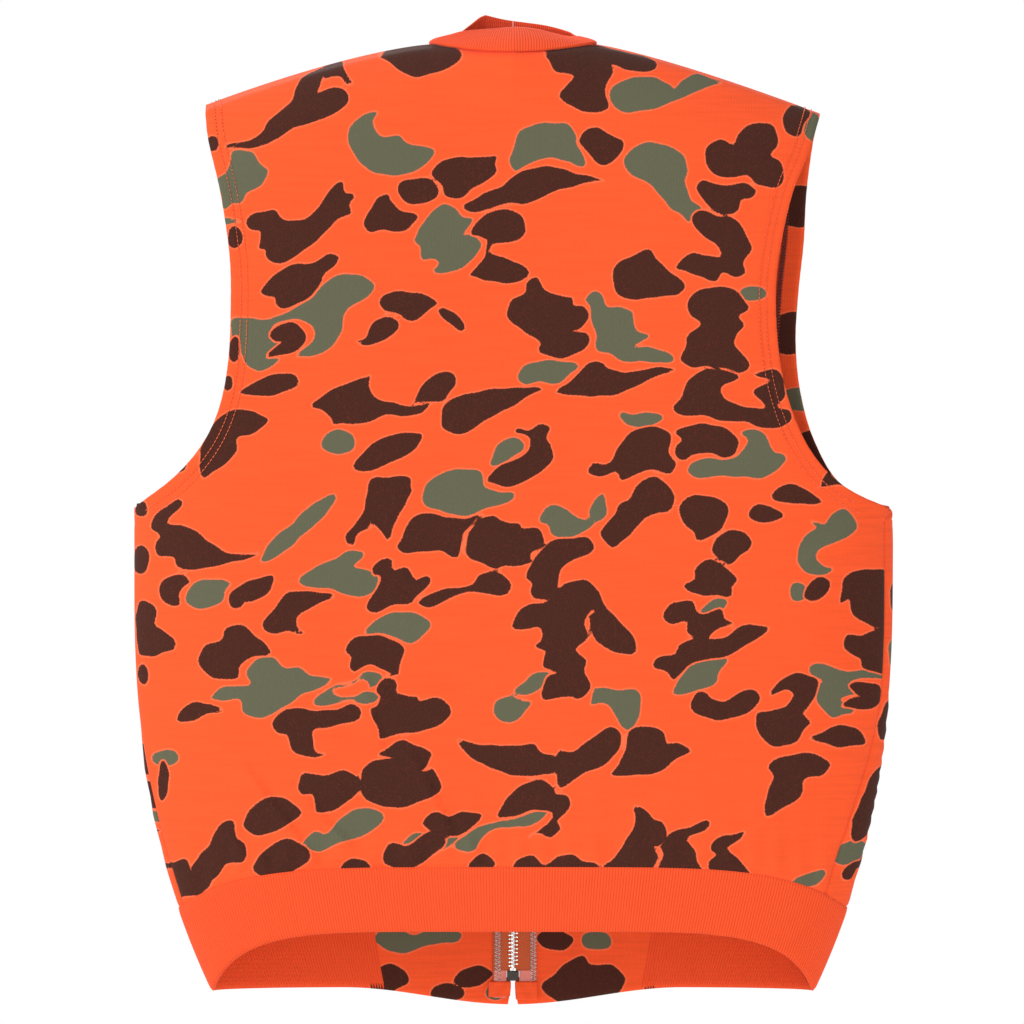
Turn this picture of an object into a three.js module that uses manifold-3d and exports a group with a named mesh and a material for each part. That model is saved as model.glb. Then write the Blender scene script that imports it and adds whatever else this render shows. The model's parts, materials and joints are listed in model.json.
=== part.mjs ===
// A blaze orange hunting vest: sleeveless, zip-fronted, with a rib collar and a rib waistband.
// It hangs upright as it is worn. Its back faces -Y, its zip faces +Y and +Z is up.
// The origin is the middle of the back neck seam, where a hanger or a neck carries it.
// All lengths are millimetres.
import * as THREE from "three";
import { mergeVertices } from "three/addons/utils/BufferGeometryUtils.js";
import Module from "manifold-3d";

// Body of the garment.
const chestHalf = 285; // centre line to side seam at the chest
const hemHalf = 225; // centre line to side at the bottom edge of the waistband
const frontDepth = 46; // centre plane to the front cloth
const backDepth = 46; // centre plane to the back cloth at the shoulder blades
const backHemDepth = 38; // centre plane to the back cloth at the waistband
const bodyLength = 609.5; // back neck seam down to the waistband seam, at the centre back
const flatShare = 0.25; // share of the half width that lies flat in the middle
const taperStart = 400; // how far down the sides start to run in
const taperPower = 2.4; // how late the sides run in
const clothThickness = 2; // fleece-backed knit

// Neck and shoulders.
const neckHalf = 62; // centre line to the neck end of the shoulder seam
const neckRise = 8; // neck end of the shoulder seam above the origin
const neckDrop = 50; // front neck seam below the neck end of the shoulder seam
const neckRidge = 20; // how far the shoulder ridge would climb further at the centre line
const shoulderReach = 231; // centre line to the armhole end of the shoulder seam
const shoulderDrop = 53; // fall of the shoulder seam from neck to armhole
const shoulderPower = 1.2;
const shoulderRound = 70; // height over which the cloth turns over the shoulder

// Armholes, measured down from the armhole end of the shoulder seam.
const armholeDepth = 296;
const armholeInset = 20; // how far the edge runs in past the shoulder end
const armholeBends = [
  // Share of the inset, and share of the depth above the underarm.
  [0.58, 0.83],
  [0.97, 0.61],
  [0.93, 0.39],
  [0.4, 0.23],
];
const underarmShare = 0.38; // pull of the side seam on the last bend, against the shoulder's 1
const underarmRise = 0.11; // height of the last bend, as a share of the depth

// Waistband, of rib with a printed end piece beside the zip.
const bandFrontHeight = 63;
const bandBackHeight = 48.5;
const bandBackDip = 31.5; // fall of the back waistband seam from centre to side
const bandFrontDip = 13; // fall of the front hem from the rib to the zip
const bandThickness = 3.6;
const bandEndThickness = 2.3;
const bandEndReach = 108; // centre line to the seam between end piece and rib
const frontHemReach = 130; // centre line to where the front hem starts to fall

// Collar, of rib.
const collarHalf = 42; // half the width of the collar's upper edge
const collarBackY = -6;
const collarFrontY = 34;
const collarBackTop = 20;
const collarSideTop = 18;
const collarFrontTop = 29;
const collarThickness = 3.4;
const collarBulge = 4;
const collarDip = 0.05; // how far its lower edge would dip for each unit that it leans in
const collarFrontDip = 0.075; // how much lower it sits at the centre front, for the same unit

// Fold lines on which the two fronts open.
const foldNeckAngle = 0.5155; // place on the front neck seam, in radians from the shoulder
const foldHemX = 185; // centre line to the fold at the bottom of the waistband
const foldClear = 0.02; // radians left between the back of the collar and each front
const foldHemDrop = 1; // the fold's lower end below the bottom of the waistband's side

// Zip.
const frontEdge = 5; // centre line to the folded front edge of the cloth
const zipNeckInset = 3; // front neck seam down to the top of the tapes
const zipHemInset = 5; // hem up to the bottom of the tapes
const tapeReach = 15.5; // centre line to the outer edge of a tape
const tapeThickness = 0.8;
const tapeClear = 0.4; // between the cloth and a tape behind it
const toothPitch = 2.9;
const toothThickness = 2.6;
const toothCrossing = 0.9; // how far a tooth reaches past the centre line
const chainHalf = 3; // centre line to the back of a row of teeth
const chainRoot = 1.5; // centre line to the bottom of the gaps between teeth
const topStopHeight = 4;
const topStopInner = 1.2; // centre line to a top stop
const sliderLength = 12;
const sliderHalf = 4.6;
const sliderPlate = 1.3;
const sliderFlange = 0.8;
const sliderPost = 4.5; // length of the wedge that joins the slider's two plates
const sliderPostHalf = 1;
const boxRise = 25.5; // hem up to the top of the retainer box
const boxHeight = 7.5;
const boxHalf = 4.5;
const boxDepth = 5;
const boxWall = 1.1;
const pinWidth = 2;
const pinThickness = 2;
const pinInner = 0.35; // centre line to a pin
const filmThickness = 0.3;
const filmInset = 1; // outer edge of a tape to the edge of its film
const bridgeHalf = 1.5;
const bridgeBar = 1.2;
const bridgeOpening = 2.3; // height of the opening under the bridge
const bridgeInset = 2; // from the slider's ends to the bridge
const tabLength = 32;
const tabHalf = 4;
const tabThickness = 1.4;
const tabLoopHalf = 1.9;
const tabLoopLength = 5.8;
const tabNeckIn = 0.8; // how much narrower the tab is on each side of its loop
const tabNeckRun = 1; // half the height over which it widens
const tabCorner = 2;
const tabSlotHalf = 1.6;
const tabSlotLength = 11;
const tabSlotInset = 4;

// Stay tapes inside the neck and shoulder seams.
const neckTapeHalf = 42;
const neckTapeWidth = 10;
const shoulderTapeHalf = 3;
const stayThickness = 0.8;
const stayInset = 8; // bare seam left at each end of a shoulder tape
const facetSag = 1.4; // how far a flat facet of the back panel lies inside its curve

// Clearances.
const gap = 0.3; // between pieces that touch
const seamGap = 0.6; // between a panel and the waistband
const runningGap = 0.5; // around the slider and its tab

const cloth = { color: 0xff5a2e, roughness: 0.95, metalness: 0 };
const rib = { color: 0xff5230, roughness: 0.95, metalness: 0 };
const zipTape = { color: 0xc8602f, roughness: 0.9, metalness: 0 };
const stayTape = { color: 0xf2672f, roughness: 0.9, metalness: 0 };
const film = { color: 0xe8e4da, roughness: 0.35, metalness: 0 };
const bright = { color: 0xc9c9c6, roughness: 0.3, metalness: 1 };
const dark = { color: 0x4a4744, roughness: 0.4, metalness: 1 };

// ---- The surface that the cloth follows ----

const neckTop = neckRise;
const collarLean = neckHalf - collarHalf;
const collarLift = gap + clothThickness / 2 + collarDip * collarLean; // lower edge above the neck seam
const collarFrontDrop = collarFrontDip * collarLean;
const underarmZ = neckTop - shoulderDrop - armholeDepth;
const bandTopSide = -bodyLength - bandBackDip;
const bandBottomSide = bandTopSide - bandFrontHeight;
const bandBackBottom = -bodyLength - bandBackHeight;
const hemCentre = bandBottomSide - bandFrontDip;
const zipTop = neckTop - neckDrop - zipNeckInset;
const tapeBottom = hemCentre + zipHemInset;

function smooth(from, to, value) {
  const t = THREE.MathUtils.clamp((value - from) / (to - from), 0, 1);
  return t * t * (3 - 2 * t);
}

// Half width of the garment at a height.
function halfWidth(z) {
  const run = Math.max(0, -z - taperStart) / (-bandBottomSide - taperStart);
  return chestHalf - (chestHalf - hemHalf) * run ** taperPower;
}

// Height of the shoulder ridge; over the neck it climbs on to a point nothing reaches.
function ridge(x) {
  const out = Math.abs(x) - neckHalf;
  if (out < 0) return neckTop - (out / neckHalf) * neckRidge;
  return neckTop - shoulderDrop * (out / (shoulderReach - neckHalf)) ** shoulderPower;
}

// Share of the full depth at a place: 1 in the flat middle, 0 at a side or shoulder seam.
function fullness(x, z) {
  const out = Math.abs(x) / halfWidth(z);
  const side = THREE.MathUtils.clamp((out - flatShare) / (1 - flatShare), 0, 1);
  const over = THREE.MathUtils.clamp((ridge(x) - z) / shoulderRound, 0, 1);
  return Math.sqrt(1 - side ** 3) * Math.sqrt(1 - (1 - over) ** 2);
}

function frontPoint(x, z) {
  return new THREE.Vector3(x, frontDepth * fullness(x, z), z);
}

function backPoint(x, z) {
  const low = smooth(taperStart, -bandTopSide, -z);
  const depth = THREE.MathUtils.lerp(backDepth, backHemDepth, low);
  return new THREE.Vector3(x, -depth * fullness(x, z), z);
}

// ---- Outlines, as [x, z] pairs ----

// A point of the front waistband: up runs from 0 at the hem to 1 at the seam.
function frontBand(x, up) {
  const fall = Math.cos((Math.PI / 2) * Math.min(1, Math.abs(x) / frontHemReach));
  return [x, bandBottomSide + bandFrontHeight * up - bandFrontDip * fall ** 2];
}

// The same at a share of the half width.
function frontBandAt(share, up) {
  return frontBand(share * halfWidth(bandBottomSide + bandFrontHeight * up), up);
}

// A point of the back waistband at a share of the half width.
function backBandAt(share, up) {
  const hem = bandBackBottom + (bandBottomSide - bandBackBottom) * Math.abs(share) ** 6;
  const seam = -bodyLength - bandBackDip * Math.abs(share) ** 5;
  const z = THREE.MathUtils.lerp(hem, seam, up);
  return [share * halfWidth(z), z];
}

function backNeck(x) {
  return [x, neckTop * (x / neckHalf) ** 2];
}

// The front neck seam, from the shoulder at 0 to the centre front at a quarter turn.
function frontNeck(angle) {
  return [neckHalf * Math.cos(angle), neckTop - neckDrop * Math.sin(angle)];
}

function shoulder(x) {
  return [x, ridge(x)];
}

const underarmBend = (shoulderReach + underarmShare * chestHalf) / (1 + underarmShare);
const armhole = new THREE.SplineCurve([
  new THREE.Vector2(shoulderReach, ridge(shoulderReach)),
  ...armholeBends.map(
    ([inset, rise]) =>
      new THREE.Vector2(shoulderReach - inset * armholeInset, underarmZ + rise * armholeDepth),
  ),
  new THREE.Vector2(underarmBend, underarmZ + underarmRise * armholeDepth),
  new THREE.Vector2(chestHalf, underarmZ),
]);

// The outer edge of a panel, from the waistband seam (0) up to the shoulder end (1).
const sideShare = 0.4;
const underarmCrowd = 1.3; // above 1 crowds the rows towards the underarm
const neckCrowd = 1.5; // above 1 crowds the rows towards the neck
function outerEdge(v) {
  if (v < sideShare) {
    const z = THREE.MathUtils.lerp(bandTopSide, underarmZ, v / sideShare);
    return [halfWidth(z), z];
  }
  const p = armhole.getPoint((1 - (v - sideShare) / (1 - sideShare)) ** underarmCrowd);
  return [p.x, p.y];
}

const foldNeck = frontNeck(foldNeckAngle);
const foldHemZ = bandBottomSide - foldHemDrop;
function foldX(z) {
  const t = (z - foldNeck[1]) / (foldHemZ - foldNeck[1]);
  return THREE.MathUtils.lerp(foldNeck[0], foldHemX, t);
}

// Share of the half width where the fold line crosses the waistband at a height.
function foldShare(up) {
  const z = bandBottomSide + bandFrontHeight * up;
  return foldX(z) / halfWidth(z);
}

function mix(a, b, t) {
  return a.map((value, i) => THREE.MathUtils.lerp(value, b[i], t));
}

// The patch between four edges that share their corners.
function patch(left, right, bottom, top) {
  return (u, v) => {
    const across = mix(left(v), right(v), u);
    const up = mix(bottom(u), top(u), v);
    const corners = mix(mix(bottom(0), bottom(1), u), mix(top(0), top(1), u), v);
    return across.map((value, i) => value + up[i] - corners[i]);
  };
}

// ---- Solids ----

// A closed slab of even thickness round a surface given by point(u, v), with u and v from 0 to 1.
// offset moves it along its normal, level(v) keeps a row's thickness horizontal, and keep may move
// each vertex last.
function slab({ columns, rows, point, thickness, offset = 0, level = () => false, keep }) {
  const step = 1e-4;
  const faces = [];
  const vertices = [];
  const place = (u, v, shift) => {
    const du = point(Math.min(1, u + step), v).sub(point(Math.max(0, u - step), v));
    const dv = point(u, Math.min(1, v + step)).sub(point(u, Math.max(0, v - step)));
    const normal = du.cross(dv);
    if (level(v)) normal.setZ(0);
    const spot = point(u, v).addScaledVector(normal.normalize(), shift);
    if (keep) keep(spot);
    vertices.push(spot.x, spot.y, spot.z);
  };
  for (const side of [-0.5, 0.5]) {
    for (let j = 0; j <= rows; j += 1) {
      for (let i = 0; i <= columns; i += 1) {
        place(i / columns, j / rows, offset + side * thickness);
      }
    }
  }
  const layer = (columns + 1) * (rows + 1);
  const at = (i, j, side) => side * layer + j * (columns + 1) + i;
  const quad = (a, b, c, d) => faces.push(a, b, c, a, c, d);
  for (let j = 0; j < rows; j += 1) {
    for (let i = 0; i < columns; i += 1) {
      quad(at(i, j, 1), at(i + 1, j, 1), at(i + 1, j + 1, 1), at(i, j + 1, 1));
      quad(at(i, j, 0), at(i, j + 1, 0), at(i + 1, j + 1, 0), at(i + 1, j, 0));
    }
  }
  for (let i = 0; i < columns; i += 1) {
    quad(at(i, 0, 0), at(i + 1, 0, 0), at(i + 1, 0, 1), at(i, 0, 1));
    quad(at(i, rows, 1), at(i + 1, rows, 1), at(i + 1, rows, 0), at(i, rows, 0));
  }
  for (let j = 0; j < rows; j += 1) {
    quad(at(0, j, 1), at(0, j + 1, 1), at(0, j + 1, 0), at(0, j, 0));
    quad(at(columns, j, 0), at(columns, j + 1, 0), at(columns, j + 1, 1), at(columns, j, 1));
  }
  const geometry = new THREE.BufferGeometry();
  geometry.setAttribute("position", new THREE.Float32BufferAttribute(vertices, 3));
  geometry.setIndex(faces);
  return facingOut(geometry);
}

// Turns every face round if the solid's volume comes out negative.
function facingOut(geometry) {
  const p = geometry.getAttribute("position");
  const index = geometry.getIndex();
  const corner = (k) => new THREE.Vector3().fromBufferAttribute(p, index.getX(k));
  let volume = 0;
  for (let k = 0; k < index.count; k += 3) {
    volume += corner(k).dot(corner(k + 1).cross(corner(k + 2)));
  }
  if (volume < 0) {
    for (let k = 0; k < index.count; k += 3) {
      const second = index.getX(k + 1);
      index.setX(k + 1, index.getX(k + 2));
      index.setX(k + 2, second);
    }
  }
  geometry.computeVertexNormals();
  return geometry;
}

// A flat outline in X and Z, given thickness from y = low to y = high.
function plate(shape, low, high) {
  const geometry = new THREE.ExtrudeGeometry(shape, { depth: high - low, bevelEnabled: false });
  return geometry.rotateX(Math.PI / 2).translate(0, high, 0);
}

function outline(points) {
  return new THREE.Shape(points.map(([x, z]) => new THREE.Vector2(x, z)));
}

function rectangle(x0, x1, z0, z1) {
  return outline([[x0, z0], [x1, z0], [x1, z1], [x0, z1]]);
}

// ---- The assembly ----

const vest = new THREE.Group();
const shell = new THREE.Group();
const neckband = new THREE.Group();
const waistband = new THREE.Group();
const zip = new THREE.Group();
const zipY = frontDepth - clothThickness / 2 - tapeClear - tapeThickness / 2;
zip.position.y = zipY;
vest.add(shell, neckband, waistband, zip);

function add(group, name, geometry, finish) {
  const mesh = new THREE.Mesh(geometry, new THREE.MeshStandardMaterial(finish));
  mesh.name = name;
  group.add(mesh);
  return mesh;
}

const sides = [
  { name: "left", sign: -1 },
  { name: "right", sign: 1 },
];

// Back panel, in one piece from armhole to armhole.
const shoulderShare = 0.35; // share of the columns that end on each shoulder
function backTop(u) {
  const sign = u < 0.5 ? -1 : 1;
  const out = Math.abs(u - 0.5) * 2;
  const neckShare = 1 - 2 * shoulderShare;
  if (out <= neckShare) return backNeck((sign * neckHalf * out) / neckShare);
  const t = (out - neckShare) / (1 - neckShare);
  return shoulder(sign * THREE.MathUtils.lerp(neckHalf, shoulderReach, t));
}

function backBottom(u) {
  const [x, z] = backBandAt(-Math.cos(Math.PI * u), 1);
  return [x, z + seamGap / 2];
}

function mirrored([x, z]) {
  return [-x, z];
}

// Lifts the lowest part of an edge clear of the waistband seam.
function clearOfBand([x, z]) {
  return [x, Math.max(z, bandTopSide + seamGap / 2)];
}

const backPatch = patch(
  (v) => mirrored(clearOfBand(outerEdge(v))),
  (v) => clearOfBand(outerEdge(v)),
  backBottom,
  backTop,
);
add(
  shell,
  "back_panel",
  slab({
    columns: 20,
    rows: 20,
    thickness: clothThickness,
    level: (v) => v === 0,
    point: (u, v) => backPoint(...backPatch(u, v)),
    keep: (p) => p.setY(Math.min(p.y, -gap / 2)),
  }),
  cloth,
);

// Front panels, each made of the part beside the side seam and the flap that opens.
const seamShare = foldShare(1);
const foldSeamZ = frontBandAt(seamShare, 1)[1] + seamGap / 2;
function foldEdge(v, shift) {
  const z = THREE.MathUtils.lerp(foldSeamZ, foldNeck[1], 1 - (1 - v) ** neckCrowd);
  return [foldX(z) + shift, z];
}

function sideTop(u) {
  const neckEnd = 0.25; // share of the columns that end on the neck seam
  if (u < neckEnd) {
    const [x, z] = frontNeck(foldNeckAngle * (1 - u / neckEnd));
    return [x + gap * (1 - u / neckEnd), z];
  }
  const t = (u - neckEnd) / (1 - neckEnd);
  return shoulder(THREE.MathUtils.lerp(neckHalf, shoulderReach, t));
}

function sideBottom(u) {
  const [x, z] = frontBandAt(THREE.MathUtils.lerp(seamShare, 1, Math.sin((Math.PI / 2) * u)), 1);
  return [x + gap * (1 - u), z + seamGap / 2];
}

const sidePatch = patch((v) => foldEdge(v, gap), (v) => clearOfBand(outerEdge(v)), sideBottom, sideTop);

const centreNeckAngle = Math.acos(frontEdge / neckHalf);
function flapBottom(u) {
  const [x, z] = frontBand(THREE.MathUtils.lerp(frontEdge, foldX(foldSeamZ), u), 1);
  return [x, z + seamGap / 2];
}

function flapTop(u) {
  return frontNeck(THREE.MathUtils.lerp(centreNeckAngle, foldNeckAngle, u));
}

function centreEdge(v) {
  return [flapBottom(0)[0], THREE.MathUtils.lerp(flapBottom(0)[1], flapTop(0)[1], 1 - (1 - v) ** neckCrowd)];
}

const flapPatch = patch(centreEdge, (v) => foldEdge(v, 0), flapBottom, flapTop);

for (const { name, sign } of sides) {
  add(
    shell,
    `${name}_front_side`,
    slab({
      columns: 10,
      rows: 20,
      thickness: clothThickness,
      level: (v) => v === 0,
      point: (u, v) => {
        const [x, z] = sidePatch(u, v);
        return frontPoint(sign * x, z);
      },
      keep: (p) => p.setY(Math.max(p.y, gap / 2)),
    }),
    cloth,
  );
  add(
    shell,
    `${name}_front_flap`,
    slab({
      columns: 8,
      rows: 14,
      thickness: clothThickness,
      level: (v) => v === 0,
      point: (u, v) => {
        const [x, z] = flapPatch(u, v);
        return frontPoint(sign * x, z);
      },
    }),
    cloth,
  );
}

// Collar: a ring that leans in from the neck seam. around is 0 at the centre back and pi at the front.
function neckSeam(around) {
  const quarter = Math.PI / 2;
  if (around <= quarter) {
    const [x, z] = backNeck(neckHalf * Math.sin(around));
    return backPoint(x, z);
  }
  const [x, z] = frontNeck(around - quarter);
  return frontPoint(Math.max(x, gap), z);
}

function collarEdge(around) {
  const middle = (collarBackY + collarFrontY) / 2;
  const reach = (collarFrontY - collarBackY) / 2;
  const end = around <= Math.PI / 2 ? collarBackTop : collarFrontTop;
  return new THREE.Vector3(
    Math.max(collarHalf * Math.sin(around), gap),
    middle - reach * Math.cos(around),
    THREE.MathUtils.lerp(collarSideTop, end, Math.cos(around) ** 2),
  );
}

function collarPoint(around, up) {
  const low = neckSeam(Math.abs(around));
  low.z += collarLift - collarFrontDrop * smooth(Math.PI / 2, Math.PI, Math.abs(around));
  const spot = low.clone().lerp(collarEdge(Math.abs(around)), up);
  const swell = collarBulge * Math.sin(Math.PI * up);
  spot.x += swell * Math.sin(Math.abs(around));
  spot.y -= swell * Math.cos(around);
  if (around < 0) spot.x *= -1;
  return spot;
}

const foldAround = Math.PI / 2 + foldNeckAngle;
add(
  neckband,
  "collar_back",
  slab({
    columns: 24,
    rows: 4,
    thickness: collarThickness,
    point: (u, v) => collarPoint(THREE.MathUtils.lerp(-foldAround, foldAround, u), v),
  }),
  rib,
);
for (const { name, sign } of sides) {
  add(
    neckband,
    `${name}_collar`,
    slab({
      columns: 8,
      rows: 6,
      thickness: collarThickness,
      point: (u, v) => collarPoint(sign * THREE.MathUtils.lerp(foldAround + foldClear, Math.PI, u), v),
      keep: (p) => p.setX(sign * Math.max(sign * p.x, gap)),
    }),
    rib,
  );
}

// Waistband. The rib runs round the back from one fold line to the other.
function bandPoint(share, up, front) {
  const [x, z] = front ? frontBandAt(share, up) : backBandAt(share, up);
  const lowered = z - (seamGap / 2) * up;
  return front ? frontPoint(x, lowered) : backPoint(x, lowered);
}

const turn = 0.22; // share of the band that lies in front of each side
function backBand(u, v) {
  const sign = u < 0.5 ? -1 : 1;
  const out = Math.abs(u - 0.5) * 2;
  const reach = 1 - turn;
  if (out <= reach) return bandPoint(sign * Math.sin((Math.PI / 2) * (out / reach)), v, false);
  const end = foldShare(v) + gap / hemHalf;
  const t = (out - reach) / turn;
  return bandPoint(sign * THREE.MathUtils.lerp(end, 1, Math.cos((Math.PI / 2) * t)), v, true);
}

add(
  waistband,
  "waistband_back",
  slab({ columns: 50, rows: 2, thickness: bandThickness, level: () => true, point: backBand }),
  rib,
);
for (const { name, sign } of sides) {
  add(
    waistband,
    `${name}_waistband_front`,
    slab({
      columns: 5,
      rows: 2,
      thickness: bandThickness,
      level: () => true,
      point: (u, v) => {
        const inner = (bandEndReach + gap) / halfWidth(bandBottomSide + bandFrontHeight * v);
        return bandPoint(sign * THREE.MathUtils.lerp(inner, foldShare(v), u), v, true);
      },
    }),
    rib,
  );
  // Printed end piece, thin enough for the zip's tab to pass in front of it.
  add(
    waistband,
    `${name}_band_end`,
    slab({
      columns: 6,
      rows: 2,
      thickness: bandEndThickness,
      point: (u, v) => {
        const [x, z] = frontBand(THREE.MathUtils.lerp(frontEdge, bandEndReach, u), v);
        return frontPoint(sign * x, z - (seamGap / 2) * v);
      },
    }),
    cloth,
  );
}

// Zip, drawn about the centre plane of its tapes.
const chainTop = zipTop - topStopHeight - gap - sliderPost - runningGap * 2;
const boxTop = hemCentre + boxRise;
const tapeInner = chainHalf + gap;
const tapeNotch = boxHalf + gap;

function tapeOutline(sign) {
  return outline([
    [sign * tapeNotch, tapeBottom],
    [sign * tapeReach, tapeBottom],
    [sign * tapeReach, zipTop],
    [sign * tapeInner, zipTop],
    [sign * tapeInner, boxTop + gap],
    [sign * tapeNotch, boxTop + gap],
  ]);
}

// One row of teeth, as a rack whose points lie in the other row's gaps.
function rackOutline(sign, phase) {
  const bottom = boxTop + 2 * gap + pinWidth;
  const count = Math.floor((chainTop - bottom) / toothPitch) - 1;
  const points = [[sign * chainHalf, chainTop], [sign * chainRoot, chainTop]];
  for (let tooth = 0; tooth < count; tooth += 1) {
    const z = chainTop - phase - tooth * toothPitch;
    points.push([sign * chainRoot, z], [-sign * toothCrossing, z - toothPitch / 2]);
  }
  const last = chainTop - phase - count * toothPitch;
  points.push([sign * chainRoot, last], [sign * chainRoot, bottom], [sign * chainHalf, bottom]);
  return outline(points);
}

const filmY = -tapeThickness / 2 - gap - filmThickness;
for (const { name, sign } of sides) {
  const half = tapeThickness / 2;
  add(zip, `${name}_zip_tape`, plate(tapeOutline(sign), -half, half), zipTape);
  add(
    zip,
    `${name}_zip_teeth`,
    plate(rackOutline(sign, sign > 0 ? toothPitch / 2 : 0), -toothThickness / 2, toothThickness / 2),
    bright,
  );
  const stop = rectangle(sign * topStopInner, sign * chainHalf, zipTop - topStopHeight, zipTop);
  add(zip, `${name}_top_stop`, plate(stop, -toothThickness / 2, toothThickness / 2), bright);
  const pinTop = boxTop + gap + pinWidth;
  const pin = rectangle(sign * pinInner, sign * (pinInner + pinWidth), boxTop - boxHeight, pinTop);
  const pinName = sign < 0 ? "insertion_pin" : "retainer_pin";
  add(zip, pinName, plate(pin, -pinThickness / 2, pinThickness / 2), bright);
  const filmReach = tapeReach - filmInset;
  const filmShape = rectangle(sign * tapeNotch, sign * filmReach, tapeBottom, boxTop + gap);
  add(zip, `${name}_zip_film`, plate(filmShape, filmY, filmY + filmThickness), film);
}

// Retainer box: a sleeve round both pins.
const boxShape = new THREE.Shape([
  new THREE.Vector2(-boxHalf, -boxDepth / 2),
  new THREE.Vector2(boxHalf, -boxDepth / 2),
  new THREE.Vector2(boxHalf, boxDepth / 2),
  new THREE.Vector2(-boxHalf, boxDepth / 2),
]);
const pinRoom = pinThickness / 2 + gap;
boxShape.holes.push(
  new THREE.Path([
    new THREE.Vector2(-boxHalf + boxWall, -pinRoom),
    new THREE.Vector2(-boxHalf + boxWall, pinRoom),
    new THREE.Vector2(boxHalf - boxWall, pinRoom),
    new THREE.Vector2(boxHalf - boxWall, -pinRoom),
  ]),
);
const box = new THREE.ExtrudeGeometry(boxShape, { depth: boxHeight, bevelEnabled: false });
add(zip, "retainer_box", box.translate(0, 0, boxTop - boxHeight), dark);

// Slider: two plates with turned-in flanges, joined by the wedge that parts the teeth, and a bridge.
const sliderTop = zipTop - topStopHeight - gap;
const sliderBottom = sliderTop - sliderLength;
const plateInner = toothThickness / 2 + runningGap;
const plateOuter = plateInner + sliderPlate;
const flangeInner = tapeThickness / 2 + gap;
const bridgeTop = plateOuter + bridgeOpening + bridgeBar;

const wasm = await Module();
wasm.setup();

function solid(geometry) {
  const bare = geometry.clone();
  bare.deleteAttribute("normal");
  bare.deleteAttribute("uv");
  const merged = mergeVertices(bare, 1e-4);
  return new wasm.Manifold(
    new wasm.Mesh({
      numProp: 3,
      vertProperties: new Float32Array(merged.getAttribute("position").array),
      triVerts: new Uint32Array(merged.getIndex().array),
    }),
  );
}

function fromSolid(body) {
  const mesh = body.getMesh();
  const geometry = new THREE.BufferGeometry();
  geometry.setAttribute("position", new THREE.BufferAttribute(mesh.vertProperties, 3));
  geometry.setIndex(new THREE.BufferAttribute(mesh.triVerts, 1));
  geometry.computeVertexNormals();
  return geometry;
}

function block(x0, x1, y0, y1, z0, z1) {
  const geometry = new THREE.BoxGeometry(x1 - x0, y1 - y0, z1 - z0);
  return solid(geometry.translate((x0 + x1) / 2, (y0 + y1) / 2, (z0 + z1) / 2));
}

function channelPlate(sign) {
  const low = Math.min(sign * plateInner, sign * plateOuter);
  const high = Math.max(sign * plateInner, sign * plateOuter);
  let body = block(-sliderHalf, sliderHalf, low, high, sliderBottom, sliderTop);
  for (const side of [-1, 1]) {
    const x = [side * sliderHalf, side * (sliderHalf - sliderFlange)].sort((a, b) => a - b);
    const y = [sign * flangeInner, sign * (plateInner + sliderPlate / 2)].sort((a, b) => a - b);
    body = body.add(block(x[0], x[1], y[0], y[1], sliderBottom, sliderTop));
  }
  return body;
}

const bridgeHigh = sliderTop - bridgeInset;
const bridgeLow = sliderBottom + bridgeInset;
const bridge = block(-bridgeHalf, bridgeHalf, plateOuter - gap, bridgeTop, bridgeLow, bridgeHigh).subtract(
  block(
    -bridgeHalf * 2,
    bridgeHalf * 2,
    plateOuter,
    bridgeTop - bridgeBar,
    bridgeLow + bridgeBar,
    bridgeHigh - bridgeBar,
  ),
);
const post = block(
  -sliderPostHalf,
  sliderPostHalf,
  -plateInner - gap,
  plateInner + gap,
  sliderTop - sliderPost,
  sliderTop,
);
const sliderBody = channelPlate(1).add(channelPlate(-1)).add(post).add(bridge);
add(zip, "zip_slider", fromSolid(sliderBody), bright);

// Pull tab: a flat plate that hangs from the bridge by the bar across its loop.
const tabPivotY = plateOuter + bridgeOpening / 2;
const tabPivotZ = bridgeHigh - bridgeBar - tabThickness / 2 - gap;
const tabTop = tabPivotZ + tabThickness / 2;
const loopTop = tabPivotZ - tabThickness / 2;
const loopBottom = loopTop - tabLoopLength;
const tabBottom = tabTop - tabLength;
const tabSide = [
  [tabHalf - tabCorner, tabBottom],
  [tabHalf, tabBottom + tabCorner],
  [tabHalf, loopBottom - tabNeckRun],
  [tabHalf - tabNeckIn, loopBottom + tabNeckRun],
  [tabHalf - tabNeckIn, tabTop],
];
const tabShape = outline([...tabSide, ...tabSide.map(mirrored).reverse()]);
function hole(half, low, high) {
  return new THREE.Path([
    new THREE.Vector2(-half, low),
    new THREE.Vector2(half, low),
    new THREE.Vector2(half, high),
    new THREE.Vector2(-half, high),
  ]);
}
tabShape.holes.push(hole(tabLoopHalf, loopBottom, loopTop));
const slotLow = tabBottom + tabSlotInset;
tabShape.holes.push(hole(tabSlotHalf, slotLow, slotLow + tabSlotLength));
add(
  zip,
  "pull_tab",
  plate(tabShape, tabPivotY - tabThickness / 2, tabPivotY + tabThickness / 2),
  bright,
);

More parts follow.
